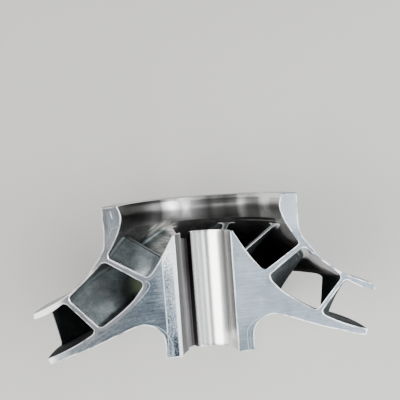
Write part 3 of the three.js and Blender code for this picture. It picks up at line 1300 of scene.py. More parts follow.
@dataclass(frozen=True)
class BladeForm:
    """The form that all blades share.

    Attributes:
        hub: the hub that they stand on.
        shroud: the shroud that covers them.
        stations: angle gained from the leading edge in degrees, height of the foot and height of the head.
        thickness: metal thickness.
        edge_thickness: metal thickness at the leading and trailing edge.
        thinning: share of the blade's length over which it thins towards each edge.
        fillet: radius of the fillets at foot and head.
        flare: share of the fillets' full width that the blade has.
        nose: length over which the leading edge is rounded.
        tail: length over which the corners of the trailing edge are broken.
        tail_break: how much of them is broken off, as a share.
        sink: how far foot and head reach into the discs.
        half_step: half of the angle over which slopes are measured, in degrees.
        typical_turn: angle gained at which the points are spaced from foot to head, in degrees.
        fillet_points: number of points over a fillet.
        wall_points: number of points between the fillets.
        samples: number of places tried along a line to find where it passes the cut.
    """

    hub: Hub
    shroud: Shroud
    stations: tuple[tuple[float, float, float], ...] = (
        (0, 125, 155), (22, 100, 131.6), (67, 44, 84.6), (98.4, 15.1, 64.9),
    )
    thickness: float = 5.2
    edge_thickness: float = 4.2
    thinning: float = 5 / 34
    fillet: float = 5.5
    flare: float = 0.92
    nose: float = 1.3
    tail: float = 1.0
    tail_break: float = 0.4
    sink: float = 0.3
    half_step: float = 0.7
    typical_turn: float = 50.0
    fillet_points: int = 9
    wall_points: int = 14
    samples: int = 400

    @property
    def last(self) -> float:
        """Angle gained at the trailing edge, in degrees."""
        return self.stations[-1][0]

    @cached_property
    def paths(self) -> list[Array]:
        """Shares of the hub's and the shroud's flow outline over the angle gained, as points of curves."""
        turns, *heights = zip(*self.stations)
        shares = [body.flow.share_at_height(at) for body, at in zip((self.hub, self.shroud), heights)]
        return [SmoothCurve(list(zip(turns, share))).points for share in shares]

    def shares(self, turn: Array) -> list[Array]:
        """Shares of the hub's and the shroud's flow outline at an angle gained."""
        return [np.interp(turn, path[:, 0], path[:, 1]) for path in self.paths]

    def ends(self, turn: Array) -> list[Array]:
        """Radius and height of the blade's foot and head at an angle gained."""
        return [body.flow.at(share) for body, share in zip((self.hub, self.shroud), self.shares(turn))]

    def middle(self, turn: Array, share: Array) -> Array:
        """Radius and height of the blade's middle surface at an angle gained and a share of the span."""
        foot, head = self.ends(turn)
        return foot + np.asarray(share)[..., None] * (head - foot)

    def width(self, turn: Array) -> Array:
        """Width of the passage at an angle gained."""
        foot, head = self.ends(turn)
        return np.linalg.norm(head - foot, axis=-1)

    def slope(self, turn: Array, share: Array) -> tuple[Array, Array, Array]:
        """How the blade's middle surface runs at a place, measured over a short step.

        Args:
            turn: angle gained, in degrees.
            share: share of the span.

        Returns:
            Its way along the outline, its way round the shaft axis, and the angle gained over the step.
        """
        before = np.clip(turn - self.half_step, 0, self.last)
        after = np.clip(turn + self.half_step, 0, self.last)
        run = np.linalg.norm(self.middle(after, share) - self.middle(before, share), axis=-1)
        radius = self.middle(turn, share)[..., 0]
        return run, radius * np.radians(after - before), after - before

    def degree_length(self, turn: Array, share: Array) -> Array:
        """Length along the blade to a degree gained."""
        run, round_the_axis, gained = self.slope(turn, share)
        return np.hypot(run, round_the_axis) / gained

    def half_angle(self, turn: Array, share: Array) -> Array:
        """Half of the blade's thickness as an angle round the shaft axis, in degrees.

        Half the metal, and near foot and head the flare R - sqrt(R^2 - (R - wall)^2) of the fillet, are measured
        square to the blade. Divided by the cosine of the blade's slope and by the radius, they give the angle.
        The leading edge is rounded off by sqrt(1 - (1 - distance / nose)^2), and the trailing edge in the same
        way over the tail, by less.

        Args:
            turn: angle gained, in degrees.
            share: share of the span.

        Returns:
            The half angle.
        """
        wall = np.clip(np.minimum(share, 1 - share) * self.width(turn), 0, self.fillet)
        flare = self.fillet - np.sqrt(self.fillet ** 2 - (self.fillet - wall) ** 2)
        from_edge = np.minimum(turn, self.last - turn) / self.last
        thicker = (self.thickness - self.edge_thickness) * np.clip(from_edge / self.thinning, 0, 1)
        metal = self.edge_thickness + thicker
        run, round_the_axis, gained = self.slope(turn, share)
        along = np.hypot(run, round_the_axis)
        from_nose = np.clip(turn * along / gained / self.nose, 0, 1)
        from_tail = np.clip((self.last - turn) * along / gained / self.tail, 0, 1)
        rounding = np.sqrt(1 - (1 - from_nose) ** 2) * np.sqrt(1 - self.tail_break * (1 - from_tail) ** 2)
        radius = self.middle(turn, share)[..., 0]
        return np.degrees((metal / 2 + flare * self.flare) * along / run / radius) * rounding

    def place(self, leading: float, turn: Array, share: Array, side: Array) -> Array:
        """Points of a blade's skin across, along and above the shaft axis.

        Args:
            leading: angle of the leading edge in degrees.
            turn: angle gained, in degrees.
            share: share of the span.
            side: 1 on one face, -1 on the other, and between them at foot and head.

        Returns:
            The points.
        """
        middle = self.middle(turn, share)
        angle = np.radians(leading + turn + side * self.half_angle(turn, share))
        radius, height = middle[..., 0], middle[..., 1]
        return np.stack([radius * np.cos(angle), height, -radius * np.sin(angle)], axis=-1)

    def crossing(self, leading: float, share: Array, side: Array, depth: float) -> Array:
        """Angle gained at which lines along a blade pass the depth of the cut.

        Args:
            leading: angle of the leading edge in degrees.
            share: share of the span of each line.
            side: side of each line.
            depth: depth under the shaft axis.

        Returns:
            Angles gained, in degrees, one for each line.
        """
        turn = np.repeat(np.linspace(0, self.last, self.samples)[:, None], len(share), axis=1)
        above = self.place(leading, turn, share, side)[..., 2] + depth
        crossed = above[:-1] * above[1:] <= 0
        index = np.argmax(crossed, axis=0)
        line = np.arange(len(share))
        low, high = above[index, line], above[index + 1, line]
        return turn[index, line] + (turn[index + 1, line] - turn[index, line]) * low / (low - high)

    def span_shares(self, turn: float) -> Array:
        """Shares of the span from foot to head, close together in the fillets."""
        bend = np.radians(np.linspace(0, 90, self.fillet_points))
        wall = self.fillet * (1 - np.cos(bend)) / float(self.width(np.array(turn)))
        inner = np.linspace(wall[-1], 1 - wall[-1], self.wall_points)[1:-1]
        return np.concatenate([wall, inner, (1 - wall)[::-1]])


@dataclass(frozen=True)
class Blade:
    """One blade, or what is left of it under the cut.

    Attributes:
        name: name of the solid that it stands for.
        leading: angle of its leading edge in degrees.
        form: the form that all blades share.
        rows: number of rows of points along it.
        nose_rows: number of rows at its rounded leading edge.
        edge_points: number of points across its foot and its head.
    """

    name: str
    leading: float
    form: BladeForm
    rows: int = 64
    nose_rows: int = 8
    edge_points: int = 7

    def build(self, lie: Lie, depth: float, materials: Sequence[bpy.types.Material]) -> bpy.types.Object:
        """Makes the blade.

        Lines of points run along the blade, up one face, across the head, down the other face and across the
        foot. Each line starts and ends at an edge of the blade or at the depth of the cut.

        Args:
            lie: how the piece lies.
            depth: depth of the flat top under the shaft axis.
            materials: the finishes of the cut and of the blade's faces, in the order of Surface.

        Returns:
            The object.
        """
        form = self.form
        up = form.span_shares(form.typical_turn)
        sink = form.sink / float(form.width(np.array(form.typical_turn)))
        over = np.linspace(1, -1, self.edge_points)
        share = np.concatenate([up, np.full_like(over, 1 + sink), up[::-1], np.full_like(over, -sink)])
        side = np.concatenate([np.ones(len(up)), over, -np.ones(len(up)), -over])
        start = np.zeros_like(share)
        end = np.full_like(share, form.last)
        starts_cut = math.sin(math.radians(self.leading)) < 0
        ends_cut = self.leading + form.last > HALF_TURN
        if starts_cut:
            start = form.crossing(self.leading, share, side, depth)
        if ends_cut:
            end = form.crossing(self.leading, share, side, depth)
        rows = np.linspace(0, 1, self.rows)
        if not starts_cut:
            nose = rows[2] * np.linspace(0, 1, self.nose_rows + 1)[:-1] ** 2
            rows = np.concatenate([nose, rows[2:]])
        turn = start + (end - start) * rows[:, None]
        points = form.place(self.leading, turn, share, side)
        degree_length = form.degree_length(turn, share)
        lead = turn * degree_length
        tail = (form.last - turn) * degree_length
        head = (1 - share) * form.width(turn)
        # Distances that place the wear and the painted highlights, light and shade on the blade.
        painted_marks = {"lead": lead.ravel(), "head": head.ravel(), "tail": tail.ravel()}
        made = Skin(points.reshape(-1, 3), numbers=painted_marks)
        count = len(share)
        made.add_faces(grid_faces(len(rows), count, closed_rows=False, closed_columns=True), Surface.FLOW)
        first = list(range(count))
        last = [(len(rows) - 1) * count + number for number in first]
        made.add_faces([first[::-1]], Surface.CUT if starts_cut else Surface.FLOW)
        made.add_faces([last], Surface.CUT if ends_cut else Surface.FLOW)
        return made.build(self.name + "_body", lie, materials)


# The cut face

@dataclass(frozen=True)
class Scratch:
    """A bright line on the cut face.

    Attributes:
        corners: its points across and along the shaft axis, in millimetres.
        glint: its brightness from 0 to 1.
        half_width: half of its width.
        step: spacing of the points along it.
    """

    corners: tuple[Pair, ...]
    glint: float = 0.9
    half_width: float = 0.9
    step: float = 1.8

    @cached_property
    def middle(self) -> Array:
        """Points along its middle."""
        return spaced(np.array(self.corners, float), self.step)

    def chains(self) -> list[Array]:
        """Its middle and its two sides, which are where its brightness bends."""
        ahead = np.gradient(self.middle, axis=0)
        square = np.stack([-ahead[:, 1], ahead[:, 0]], axis=-1) / np.linalg.norm(ahead, axis=1)[:, None]
        return [self.middle, self.middle + square * self.half_width, self.middle - square * self.half_width]

    def brightness(self, points: Array) -> Array:
        """Brightness at points of the face: glint times 1 minus the distance over the half width, or 0."""
        start, line = self.middle[:-1], np.diff(self.middle, axis=0)
        share = np.clip(((points[:, None] - start) * line).sum(-1) / np.sum(line ** 2, axis=1), 0, 1)
        distance = np.linalg.norm(points[:, None] - start - share[..., None] * line, axis=-1).min(axis=1)
        return self.glint * np.clip(1 - distance / self.half_width, 0, 1)


LEFT_SCRATCHES = (
    Scratch(((-52.6, 123), (-52.5, 100), (-52.5, 80), (-52.3, 60), (-52.3, 44), (-52.5, 33)), 1.0, 1.6),
    Scratch(((-52.4, 30), (-52.3, 20), (-52.7, 10), (-53.4, 2)), 0.9, 0.9),
    Scratch(((-54, 32.6), (-50.2, 25.9), (-47.8, 19.3), (-47.5, 10), (-47.8, 1.5)), 0.85, 0.9),
    Scratch(((-77.4, 45), (-66.4, 42.1), (-58.7, 37.5), (-53.6, 31.6)), 0.75, 0.9),
    Scratch(((-75.5, 100.5), (-70.9, 98.2), (-69.8, 93.7), (-73.4, 88.2), (-85.1, 76.1)), 0.8, 0.9),
    Scratch(((-85.1, 76.1), (-93.5, 69.3)), 0.55, 0.9),
    Scratch(((-54.7, 127.6), (-61.6, 118.8), (-71.3, 106.4)), 0.75, 0.9),
    Scratch(((-50.2, 117.5), (-57, 110.5), (-63, 105)), 0.6, 0.8),
    Scratch(((-104.2, 170.5), (-110.8, 168.7), (-116.2, 157.7), (-119.3, 151.8)), 0.7, 0.8),
    Scratch(((-111.2, 190), (-109.5, 181.5)), 0.95, 1.5),
)
RIGHT_SCRATCHES = (
    Scratch(((48.3, 1.5), (47.4, 10), (47.1, 20.7), (48.7, 28.9), (56.1, 37.2), (66.3, 42.6)), 0.8, 0.9),
    Scratch(((51.2, 1.5), (51, 13.8), (51.5, 24.1)), 0.65, 0.8),
    Scratch(((73.9, 100.3), (69.3, 98.1), (67.9, 93.8), (69.3, 87.9), (75.2, 81)), 0.72, 0.8),
    Scratch(((37, 137), (43, 128.9), (49.7, 116.3)), 0.7, 0.7),
    Scratch(((117.5, 187.5), (114.6, 181.5)), 0.85, 1.4),
)


@dataclass(frozen=True)
class CutFace:
    """One side of the cut face: a thin plate over the sections of hub, shroud and two blades.

    Attributes:
        side: which side of the shaft axis.
        hub: the hub.
        shroud: the shroud.
        form: the blades' form.
        upstream: angle of the leading edge of the cut blade nearer the eye.
        downstream: angle of the leading edge of the other cut blade.
        scratches: the bright lines on it.
        cut: depth of the face under the shaft axis.
        break_depth: height of the broken edge.
        break_width: width of the broken edge.
        sunk: how far the plate's wall goes on down inside the bodies, and how far in from their edge.
        typical_turn: angle gained at which the points of a cut blade's edge are spaced, in degrees.
        edge_step: spacing of the points along the straight edges and the outside.
        grid: spacing of the points inside the face.
        scratch_gap: distance that those points keep from the scratches.
        edge_gap: distance that those points keep from the face's edge.
    """

    side: Side
    hub: Hub
    shroud: Shroud
    form: BladeForm
    upstream: float
    downstream: float
    scratches: tuple[Scratch, ...]
    cut: float
    break_depth: float
    break_width: float = 0.6
    sunk: Pair = (0.5, 0.4)
    typical_turn: float = 40.0
    edge_step: float = 2.0
    grid: float = 1.6
    scratch_gap: float = 0.7
    edge_gap: float = 0.48

    def web_edge(self, leading: float, face: int, depth: float) -> tuple[Array, float, float]:
        """Edge of a cut blade in the plane of the cut.

        Args:
            leading: angle of the blade's leading edge.
            face: 1 for the face nearer the eye, -1 for the other.
            depth: depth of the plane under the shaft axis.

        Returns:
            Points of radius and height from foot to head, and the shares of the two flow outlines where it ends.
        """
        share = self.form.span_shares(self.typical_turn)
        turn = self.form.crossing(leading, share, np.full_like(share, face), depth)
        foot, _ = self.form.shares(turn[0])
        _, head = self.form.shares(turn[-1])
        return self.form.middle(turn, share), float(foot), float(head)

    def loops(self, depth: float) -> tuple[Array, Array]:
        """The outer loop and the loop round the closed passage at a depth.

        Args:
            depth: depth of the plane under the shaft axis.

        Returns:
            Points across and along the shaft axis. Each loop has the same number of points at every depth.
        """
        hub_flow, shroud_flow = self.hub.flow, self.shroud.flow
        first_up, foot_a, head_a = self.web_edge(self.upstream, 1, depth)
        first_down, foot_b, head_b = self.web_edge(self.upstream, -1, depth)
        second_up, foot_c, head_c = self.web_edge(self.downstream, 1, depth)
        second_down, foot_d, head_d = self.web_edge(self.downstream, -1, depth)
        nose, heel, boss = (self.hub.bore, self.hub.nose_height), (self.hub.bore, 0.0), (self.hub.boss, 0.0)
        eye = np.array([self.shroud.flow_corners[0], (self.shroud.eye_outer, self.shroud.eye_top)])
        step = self.edge_step
        outer = [
            np.array([nose]),
            hub_flow.at(np.linspace(0, foot_a, 40))[:-1],
            first_up,
            shroud_flow.at(np.linspace(head_a, 0, 44))[1:],
            spaced(eye, step)[1:],
            spaced(self.shroud.cover[::-1], step)[1:],
            shroud_flow.at(np.linspace(1, head_d, 36))[:-1],
            second_down[::-1],
            hub_flow.at(np.linspace(foot_d, 1, 40))[1:],
            spaced(self.hub.back, step),
            spaced(np.array([boss, heel]), step)[1:],
            spaced(np.array([heel, nose]), step)[1:-1],
        ]
        hole = [
            first_down,
            shroud_flow.at(np.linspace(head_b, head_c, 50))[1:-1],
            second_up[::-1],
            hub_flow.at(np.linspace(foot_c, foot_b, 50))[1:-1],
        ]
        return self._in_plane(np.concatenate(outer), depth), self._in_plane(np.concatenate(hole), depth)

    def _in_plane(self, points: Array, depth: float) -> Array:
        """Points of radius and height as points across and along, in the plane at a depth."""
        across = np.sqrt(points[:, 0] ** 2 - depth ** 2) * self.side.value
        return np.stack([across, points[:, 1]], axis=-1)

    @staticmethod
    def inset(loop: Array, width: float, outward: bool = False) -> Array:
        """Moves a loop sideways.

        Each point moves square to the loop's direction there by width over the cosine of half the bend.

        Args:
            loop: points of a closed loop.
            width: how far it moves.
            outward: whether it moves away from what it encloses.

        Returns:
            The moved points.
        """
        ahead = np.roll(loop, -1, axis=0) - loop
        ahead /= np.linalg.norm(ahead, axis=1)[:, None]
        behind = np.roll(ahead, 1, axis=0)
        middle = ahead + behind
        middle /= np.linalg.norm(middle, axis=1)[:, None]
        cosine = np.clip(np.sum(middle * ahead, axis=1), 0.5, 1)
        x, y = loop.T
        area = np.sum(x * np.roll(y, -1) - y * np.roll(x, -1))
        sign = (1 if area > 0 else -1) * (-1 if outward else 1)
        square = np.stack([-middle[:, 1], middle[:, 0]], axis=-1) * sign
        return loop + square * (width / cosine)[:, None]

    @staticmethod
    def enclosed(points: Array, loop: Array) -> Array:
        """Whether each point lies inside a loop.

        A ray from such a point to the right meets the loop an odd number of times.

        Args:
            points: the points, one row each.
            loop: points of a closed loop.

        Returns:
            True or False for each point.
        """
        start, end = loop, np.roll(loop, -1, axis=0)
        x, y = points[:, :1], points[:, 1:]
        spans = (start[:, 1] > y) != (end[:, 1] > y)
        rise = np.where(start[:, 1] == end[:, 1], 1.0, end[:, 1] - start[:, 1])
        meets = start[:, 0] + (y - start[:, 1]) / rise * (end[:, 0] - start[:, 0])
        return np.sum(spans & (x < meets), axis=1) % 2 == 1

    @staticmethod
    def distance(points: Array, loops: Sequence[Array]) -> Array:
        """Distance of each point from the nearest line of the loops."""
        start = np.concatenate(loops)
        line = np.concatenate([np.roll(loop, -1, axis=0) - loop for loop in loops])
        squared = np.maximum(np.sum(line ** 2, axis=1), TINY ** 2)
        share = np.clip(((points[:, None] - start) * line).sum(-1) / squared, 0, 1)
        return np.linalg.norm(points[:, None] - start - share[..., None] * line, axis=-1).min(axis=1)

    def between_loops(self, points: Array, loops: Sequence[Array]) -> Array:
        """Whether each point lies inside the outer loop and outside the hole."""
        return self.enclosed(points, loops[0]) & ~self.enclosed(points, loops[1])

    def inner_points(self, loops: Sequence[Array]) -> Array:
        """Points inside the face: those of the scratches, and a grid that keeps clear of them and of the edge."""
        low, high = loops[0].min(axis=0), loops[0].max(axis=0)
        x, y = np.meshgrid(np.arange(low[0], high[0], self.grid), np.arange(low[1], high[1], self.grid))
        grid = np.stack([x.ravel(), y.ravel()], axis=-1)
        drawn = np.concatenate([chain for scratch in self.scratches for chain in scratch.chains()])
        clear = np.linalg.norm(grid[:, None] - drawn, axis=-1).min(axis=1) > self.scratch_gap
        inside = np.concatenate([grid[clear], drawn])
        inside = inside[self.between_loops(inside, loops)]
        return inside[self.distance(inside, loops) > self.edge_gap]

    def sheet(self, loops: Sequence[Array], inside: Array | None = None) -> tuple[Array, Array]:
        """Fills the area between an outer loop and a hole with triangles.

        Args:
            loops: the outer loop and the hole.
            inside: further points between them.

        Returns:
            All points, the loops' first, and the triangles' point numbers.
        """
        points = np.concatenate(loops)
        numbers = np.split(np.arange(len(points)), [len(loops[0])])
        edges = np.concatenate([np.stack([part, np.roll(part, -1)], axis=-1) for part in numbers])
        if inside is not None:
            points = np.concatenate([points, inside])
        given = [Vector(point) for point in points.tolist()]
        inside_only, same_point = 1, 1e-5
        filled = delaunay_2d_cdt(given, edges.tolist(), [], inside_only, same_point)
        corners, triangles = np.array(filled[0]), np.array(filled[2])
        return corners, triangles[self.between_loops(corners[triangles].mean(axis=1), loops)]

    def build(self, lie: Lie, materials: Sequence[bpy.types.Material]) -> bpy.types.Object:
        """Makes the plate.

        The face is filled inside the loops, moved in by the width of the broken edge. The broken edge runs down
        to the loops themselves, where hub, shroud and blades begin, and the plate's wall goes on down inside
        them.

        Args:
            lie: how the piece lies.
            materials: the finishes, in the order of PlateSurface.

        Returns:
            The object.
        """
        top_depth = self.cut
        flush_depth = self.cut + self.break_depth
        sunk_depth = flush_depth + self.sunk[0]
        top = self.loops(top_depth)
        flush = self.loops(flush_depth)
        face = [self.inset(top[0], self.break_width), self.inset(top[1], self.break_width, outward=True)]
        sunk = [self.inset(flush[0], self.sunk[1]), self.inset(flush[1], self.sunk[1], outward=True)]
        rings = [(face, top_depth), (flush, flush_depth), (sunk, sunk_depth)]
        sheet_points, triangles = self.sheet(face, self.inner_points(face))
        below_points, below = self.sheet(sunk)
        parts = [self._at(sheet_points, top_depth)]
        starts = []
        total = len(sheet_points)
        for loops, depth in rings:
            for loop in loops:
                starts.append(total)
                parts.append(self._at(loop, depth))
                total += len(loop)
        parts.append(self._at(below_points, sunk_depth))
        made = Skin(np.concatenate(parts))
        made.add_faces(triangles, PlateSurface.FACE)
        for ring, finish in enumerate((PlateSurface.EDGE, PlateSurface.FACE)):
            for which, loop in enumerate(face):
                upper = starts[ring * 2 + which] + np.arange(len(loop))
                lower = starts[ring * 2 + 2 + which] + np.arange(len(loop))
                strip = np.stack([upper, lower, np.roll(lower, -1), np.roll(upper, -1)], axis=-1)
                made.add_faces(strip, finish)
        made.add_faces(below + total, PlateSurface.FACE)
        plate = made.build("cut_face_" + self.side.name.lower(), lie, materials, crease=20.0)
        self._store_edge(plate, lie, face)
        return plate

    @staticmethod
    def _at(points: Array, depth: float) -> Array:
        """Points across and along, at a depth under the shaft axis."""
        return np.stack([points[:, 0], points[:, 1], np.full(len(points), -depth)], axis=-1)

    def _store_edge(self, plate: bpy.types.Object, lie: Lie, loops: Sequence[Array]) -> None:
        """Stores what the finish reads at each point.

        The attribute edge is the distance from the edge of the face, in millimetres, and the attribute glint the
        brightness of the scratches.

        Args:
            plate: the plate.
            lie: how the piece lies.
            loops: the edge of the face.
        """
        mesh = plate.data
        where = np.zeros(len(mesh.vertices) * 3)
        mesh.vertices.foreach_get("co", where)
        moved = where.reshape(-1, 3) / MM - np.array(lie.shift)
        c, s = math.cos(lie.tilt), math.sin(lie.tilt)
        flat = np.stack([moved[:, 0], moved[:, 1] * c + moved[:, 2] * s], axis=-1)
        edge = mesh.attributes.new("edge", "FLOAT", "POINT")
        edge.data.foreach_set("value", self.distance(flat, loops))
        glint = mesh.attributes.new("glint", "FLOAT", "POINT")
        glint.data.foreach_set("value", np.max([scratch.brightness(flat) for scratch in self.scratches], axis=0))


# The studio

WARM: Colour = (1.0, 0.99, 0.96)


@dataclass(frozen=True)
class Lamp:
    """A soft lamp over the piece, as long as it can be along Y.

    Attributes:
        name: its name.
        across: angle from straight up to the right at which it stands, in degrees.
        along: angle from straight up towards +Y at which it stands, in degrees.
        distance: its distance from the piece.
        size: its width across and its length along.
        glow: brightness of its surface.
        colour: its colour.
        aim: the point that it faces.
    """

    name: str
    across: float
    along: float
    distance: float
    size: Pair
    glow: float
    colour: Colour = (1.0, 1.0, 1.0)
    aim: tuple[float, float, float] = (0.0, 0.0, 0.15)

    def build(self) -> bpy.types.Object:
        """Makes the lamp. Its power is glow times area times pi."""
        data = bpy.data.lights.new(self.name, "AREA")
        data.shape = "RECTANGLE"
        data.size, data.size_y = self.size
        data.energy = self.glow * self.size[0] * self.size[1] * math.pi
        data.color = self.colour
        lamp = bpy.data.objects.new(self.name, data)
        back = Vector((math.tan(math.radians(self.across)), math.tan(math.radians(self.along)), 1.0)).normalized()
        length = (Vector((0.0, 1.0, 0.0)) - back * back.y).normalized()
        turn = Matrix((length.cross(back), length, back)).transposed()
        lamp.location = Vector(self.aim) + back * self.distance
        lamp.rotation_euler = turn.to_euler()
        bpy.context.scene.collection.objects.link(lamp)
        return lamp


@dataclass(frozen=True)
class Studio:
    """The floor, the lamps, the surroundings and the camera.

    Attributes:
        camera_place: where the camera stands, in metres.
        camera_turn: its turn about X, Y and Z, in degrees.
        lens: its focal length, in millimetres.
        picture_width: the width of picture that the focal length goes with, in millimetres.
        nearest: distance from which on the camera sees things, in metres.
        surroundings: brightness of the grey all round.
        sky_colour: colour of that grey.
        floor_colour: colour of the floor.
        floor_roughness: how dull the floor is.
        floor_reach: distance of the floor's edges from the piece, in metres.
        lamps: the soft lamps.
    """

    camera_place: tuple[float, float, float] = (-0.03442, -0.03209, 0.87008)
    camera_turn: tuple[float, float, float] = (10.3606, -2.2479, -4.9146)
    lens: float = 46.698
    picture_width: float = 36.0
    nearest: float = 0.01
    surroundings: float = 0.12
    sky_colour: Colour = (0.93, 0.97, 1.0)
    floor_colour: Colour = (0.52, 0.51, 0.495)
    floor_roughness: float = 0.8
    floor_reach: float = 3.0
    lamps: tuple[Lamp, ...] = (
        Lamp("left_box", -45.0, -27.0, 2.2, (1.4, 1.7), 8.0, WARM),
        Lamp("left_far", -62.0, 14.0, 2.3, (1.0, 0.9), 3.0, WARM),
        Lamp("left_low", -74.0, -22.0, 2.2, (1.3, 1.8), 2.0, WARM),
        Lamp("thin_strip", -6.0, -24.0, 2.1, (0.045, 2.8), 14.0),
        Lamp("upper_strip", 21.0, -16.0, 2.1, (0.12, 4.4), 10.0),
        Lamp("middle_strip", 44.0, -16.0, 2.1, (0.2, 4.4), 26.0),
        Lamp("lower_strip", 64.0, -16.0, 2.1, (0.15, 4.4), 3.0),
        Lamp("right_sky", 19.0, -27.0, 2.4, (2.6, 1.4), 1.9, (0.92, 0.97, 1.0)),
        Lamp("right_low", 72.0, 0.0, 2.2, (1.1, 1.5), 5.0, (0.97, 0.99, 1.0)),
    )

    def build(self) -> None:
        """Makes the studio."""
        for lamp in self.lamps:
            lamp.build()
        self._floor()
        self._surroundings()
        self._camera()

    def _floor(self) -> None:
        """Makes the plain pale floor."""
        mesh = bpy.data.meshes.new("studio_floor")
        reach = self.floor_reach
        corners = [(-reach, -reach, 0.0), (reach, -reach, 0.0), (reach, reach, 0.0), (-reach, reach, 0.0)]
        mesh.from_pydata(corners, [], [(0, 1, 2, 3)])
        material = bpy.data.materials.new("pale_floor")
        material.use_nodes = True
        shader = material.node_tree.nodes["Principled BSDF"]
        shader.inputs["Base Color"].default_value = (*self.floor_colour, 1.0)
        shader.inputs["Roughness"].default_value = self.floor_roughness
        mesh.materials.append(material)
        floor = bpy.data.objects.new("studio_floor", mesh)
        bpy.context.scene.collection.objects.link(floor)

    def _surroundings(self) -> None:
        """Sets the grey all round."""
        world = bpy.data.worlds.new("soft_grey")
        world.use_nodes = True
        background = world.node_tree.nodes["Background"]
        background.inputs["Color"].default_value = (*self.sky_colour, 1.0)
        background.inputs["Strength"].default_value = self.surroundings
        bpy.context.scene.world = world

    def _camera(self) -> None:
        """Sets the camera at the photograph's viewing angle."""
        data = bpy.data.cameras.new("camera")
        data.lens = self.lens
        data.sensor_width = self.picture_width
        data.clip_start = self.nearest
        camera = bpy.data.objects.new("camera", data)
        camera.location = self.camera_place
        camera.rotation_euler = [math.radians(turn) for turn in self.camera_turn]
        bpy.context.scene.collection.objects.link(camera)
        bpy.context.scene.camera = camera


# The whole piece

@dataclass(frozen=True)
class FinishSet:
    """The finishes of the whole piece.

    Attributes:
        cut: the cut face.
        edge: the broken edges.
        bore: the shaft bore.
        key_slot: the slot for the key.
        eye_band: the bright band inside the eye.
        turned: the outside.
        hub_flow: the hub's side of the passages.
        shroud_flow: the shroud's side of the passages.
        blade: the blades.
    """

    cut: CutSteel = CutSteel()
    edge: TurnedSteel = TurnedSteel("bright_edge", (0.86, 0.88, 0.9), 0.28, ring_depth=0.00001, stain=0.1)
    # The bore's tones round the shaft axis are painted reflections and shade.
    bore: TurnedSteel = TurnedSteel(
        "bored_steel", (0.95, 0.96, 0.95), 0.25, ring_depth=0.000004, stain=0.1, streaks=0.25, dull_left=0.3,
        round_tones=(
            (0.0, 0.6), (20.0, 0.6), (31.0, 0.75), (42.0, 0.85), (52.0, 1.0), (73.0, 1.0), (78.0, 0.5),
            (82.0, 0.5), (87.0, 1.0), (91.0, 0.5), (98.0, 0.36), (104.0, 0.26), (109.0, 0.13), (114.0, 0.05),
            (140.0, 0.25), (152.0, 0.15), (180.0, 0.2),
        ),
    )
    # Painted shadow on the slot's right-hand wall; the slot is lighter towards the boss's end.
    key_slot: TurnedSteel = TurnedSteel(
        "key_slot_steel", (0.1, 0.095, 0.1), 0.4, ring_depth=0.00001, stain=0.2, streaks=0.7,
        round_tones=((0.0, 0.25), (116.0, 0.25), (124.0, 0.8), (132.0, 1.0), (140.0, 1.3), (180.0, 1.0)),
        height_tones=((0.0, 2.8), (40.0, 2.4), (110.0, 1.0), (155.0, 1.0)),
    )
    # The eye's band: its tones round and along the shaft axis are painted reflections and shade.
    eye_band: TurnedSteel = TurnedSteel(
        "eye_band_steel", (0.97, 0.97, 0.95), 0.38, ring_depth=0.000006, stain=0.06, streaks=0.3, lip_from=189.5,
        round_tones=(
            (0.0, 0.5), (19.0, 0.45), (27.0, 1.0), (36.0, 0.2), (46.0, 0.17), (52.0, 0.4), (57.0, 0.08),
            (66.0, 0.05), (75.0, 0.12), (80.0, 0.08), (94.0, 0.38), (99.0, 1.0), (103.5, 0.42), (110.0, 1.0),
            (115.0, 0.5), (121.0, 0.11), (127.0, 0.15), (140.0, 0.06), (156.0, 0.03),
        ),
        height_tones=(
            (160.0, 2.8), (165.0, 2.3), (171.0, 1.4), (176.0, 0.75), (180.0, 0.75), (184.0, 1.1), (187.0, 1.5),
            (195.8, 1.2),
        ),
    )
    turned: TurnedSteel = TurnedSteel("turned_steel", (0.4, 0.415, 0.43), 0.36, ring_depth=0.0001, stain=0.8)
    # Painted light and shade round the shaft axis.
    hub_flow: FlowSteel = FlowSteel(
        "hub_flow_steel", (0.45, 0.47, 0.49), (0.25, 0.27, 0.28), 0.4,
        round_tones=(
            (0.0, 0.3), (30.0, 0.25), (60.0, 0.25), (100.0, 0.3), (130.0, 0.5), (160.0, 0.3), (180.0, 0.2),
        ),
    )
    # Painted light and shade round the shaft axis, with a painted pool of light beside the cut on the right.
    shroud_flow: FlowSteel = FlowSteel(
        "shroud_flow_steel", (0.5, 0.5, 0.5), (0.28, 0.28, 0.27), 0.42, smear=0.95, beside_cut=0.9,
        round_tones=(
            (0.0, 1.2), (16.0, 1.0), (25.0, 0.15), (50.0, 0.12), (64.0, 0.25), (100.0, 0.25), (110.0, 0.55),
            (130.0, 0.5), (138.0, 0.4), (162.0, 0.4), (180.0, 0.7),
        ),
    )
    # Painted light and shade round the shaft axis: dark on the right, lit on the left.
    blade: FlowSteel = FlowSteel(
        "blade_steel", (0.64, 0.72, 0.74), (0.33, 0.39, 0.41), 0.44, wear_light_and_shade=1.0,
        round_tones=(
            (0.0, 0.2), (8.0, 0.15), (18.0, 0.1), (60.0, 0.14), (100.0, 0.3), (122.0, 0.52), (140.0, 0.64),
            (180.0, 0.66),
        ),
    )


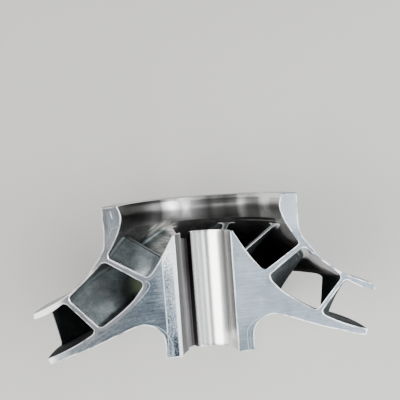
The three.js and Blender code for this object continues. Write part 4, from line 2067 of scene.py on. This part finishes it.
@dataclass(frozen=True)
class Impeller:
    """The half impeller with its hub, shroud, blades and cut face.

    Attributes:
        lie: how it lies.
        finishes: its finishes.
        break_depth: height of the broken edge round the cut face.
        blades: names of the blades, in order round the shaft axis.
        first_leading: angle of the first one's leading edge, in degrees.
        blade_count: number of blades that the whole impeller had, at equal angles.
    """

    lie: Lie = Lie()
    finishes: FinishSet = FinishSet()
    break_depth: float = 0.5
    blades: tuple[str, ...] = (
        "blade_right_outer", "blade_right_inner", "blade_lower_right", "blade_lower_left", "blade_left_outer",
        "blade_left_inner",
    )
    first_leading: float = -68.0
    blade_count: int = 8

    def build(self) -> None:
        """Makes and dresses every piece."""
        lie, looks = self.lie, self.finishes
        depth = lie.cut + self.break_depth
        cut, edge, turned = looks.cut.material(lie), looks.edge.material(lie), looks.turned.material(lie)
        bore, key_slot = looks.bore.material(lie), looks.key_slot.material(lie)
        on_hub = [cut, looks.hub_flow.material(lie), bore, turned, edge, key_slot]
        on_shroud = [cut, looks.shroud_flow.material(lie), looks.eye_band.material(lie), turned, edge]
        on_blade = [cut, looks.blade.material(lie)]

        hub = Hub(depth)
        shroud = Shroud(depth)
        form = BladeForm(hub, shroud)
        self._settle(hub.build(lie, on_hub), "hub", "hub")
        self._settle(shroud.build(lie, on_shroud), "shroud", "shroud")
        apart = 360.0 / self.blade_count
        leads = {name: self.first_leading + apart * number for number, name in enumerate(self.blades)}
        for name, leading in leads.items():
            self._settle(Blade(name, leading, form).build(lie, depth, on_blade), name, name)

        for side, upstream, downstream, scratches in (
            (Side.RIGHT, "blade_right_inner", "blade_right_outer", RIGHT_SCRATCHES),
            (Side.LEFT, "blade_left_inner", "blade_left_outer", LEFT_SCRATCHES),
        ):
            plate = CutFace(
                side, hub, shroud, form, leads[upstream], leads[downstream], scratches, lie.cut, self.break_depth
            )
            self._settle(plate.build(lie, [cut, edge]), "hub")

    @staticmethod
    def _settle(piece: bpy.types.Object, slot: str, *nodes: str) -> None:
        """Ties a piece to the body, hides the solids that it stands for, and reports it."""
        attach(piece, "root")
        if nodes:
            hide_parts(*nodes)
        LOG.info("%s: %d faces", piece.name, len(piece.data.polygons))


def main() -> None:
    """Loads the frame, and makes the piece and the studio."""
    logging.basicConfig(level=logging.INFO, format="%(message)s")
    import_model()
    Studio().build()
    Impeller().build()


if __name__ == "__main__":
    main()
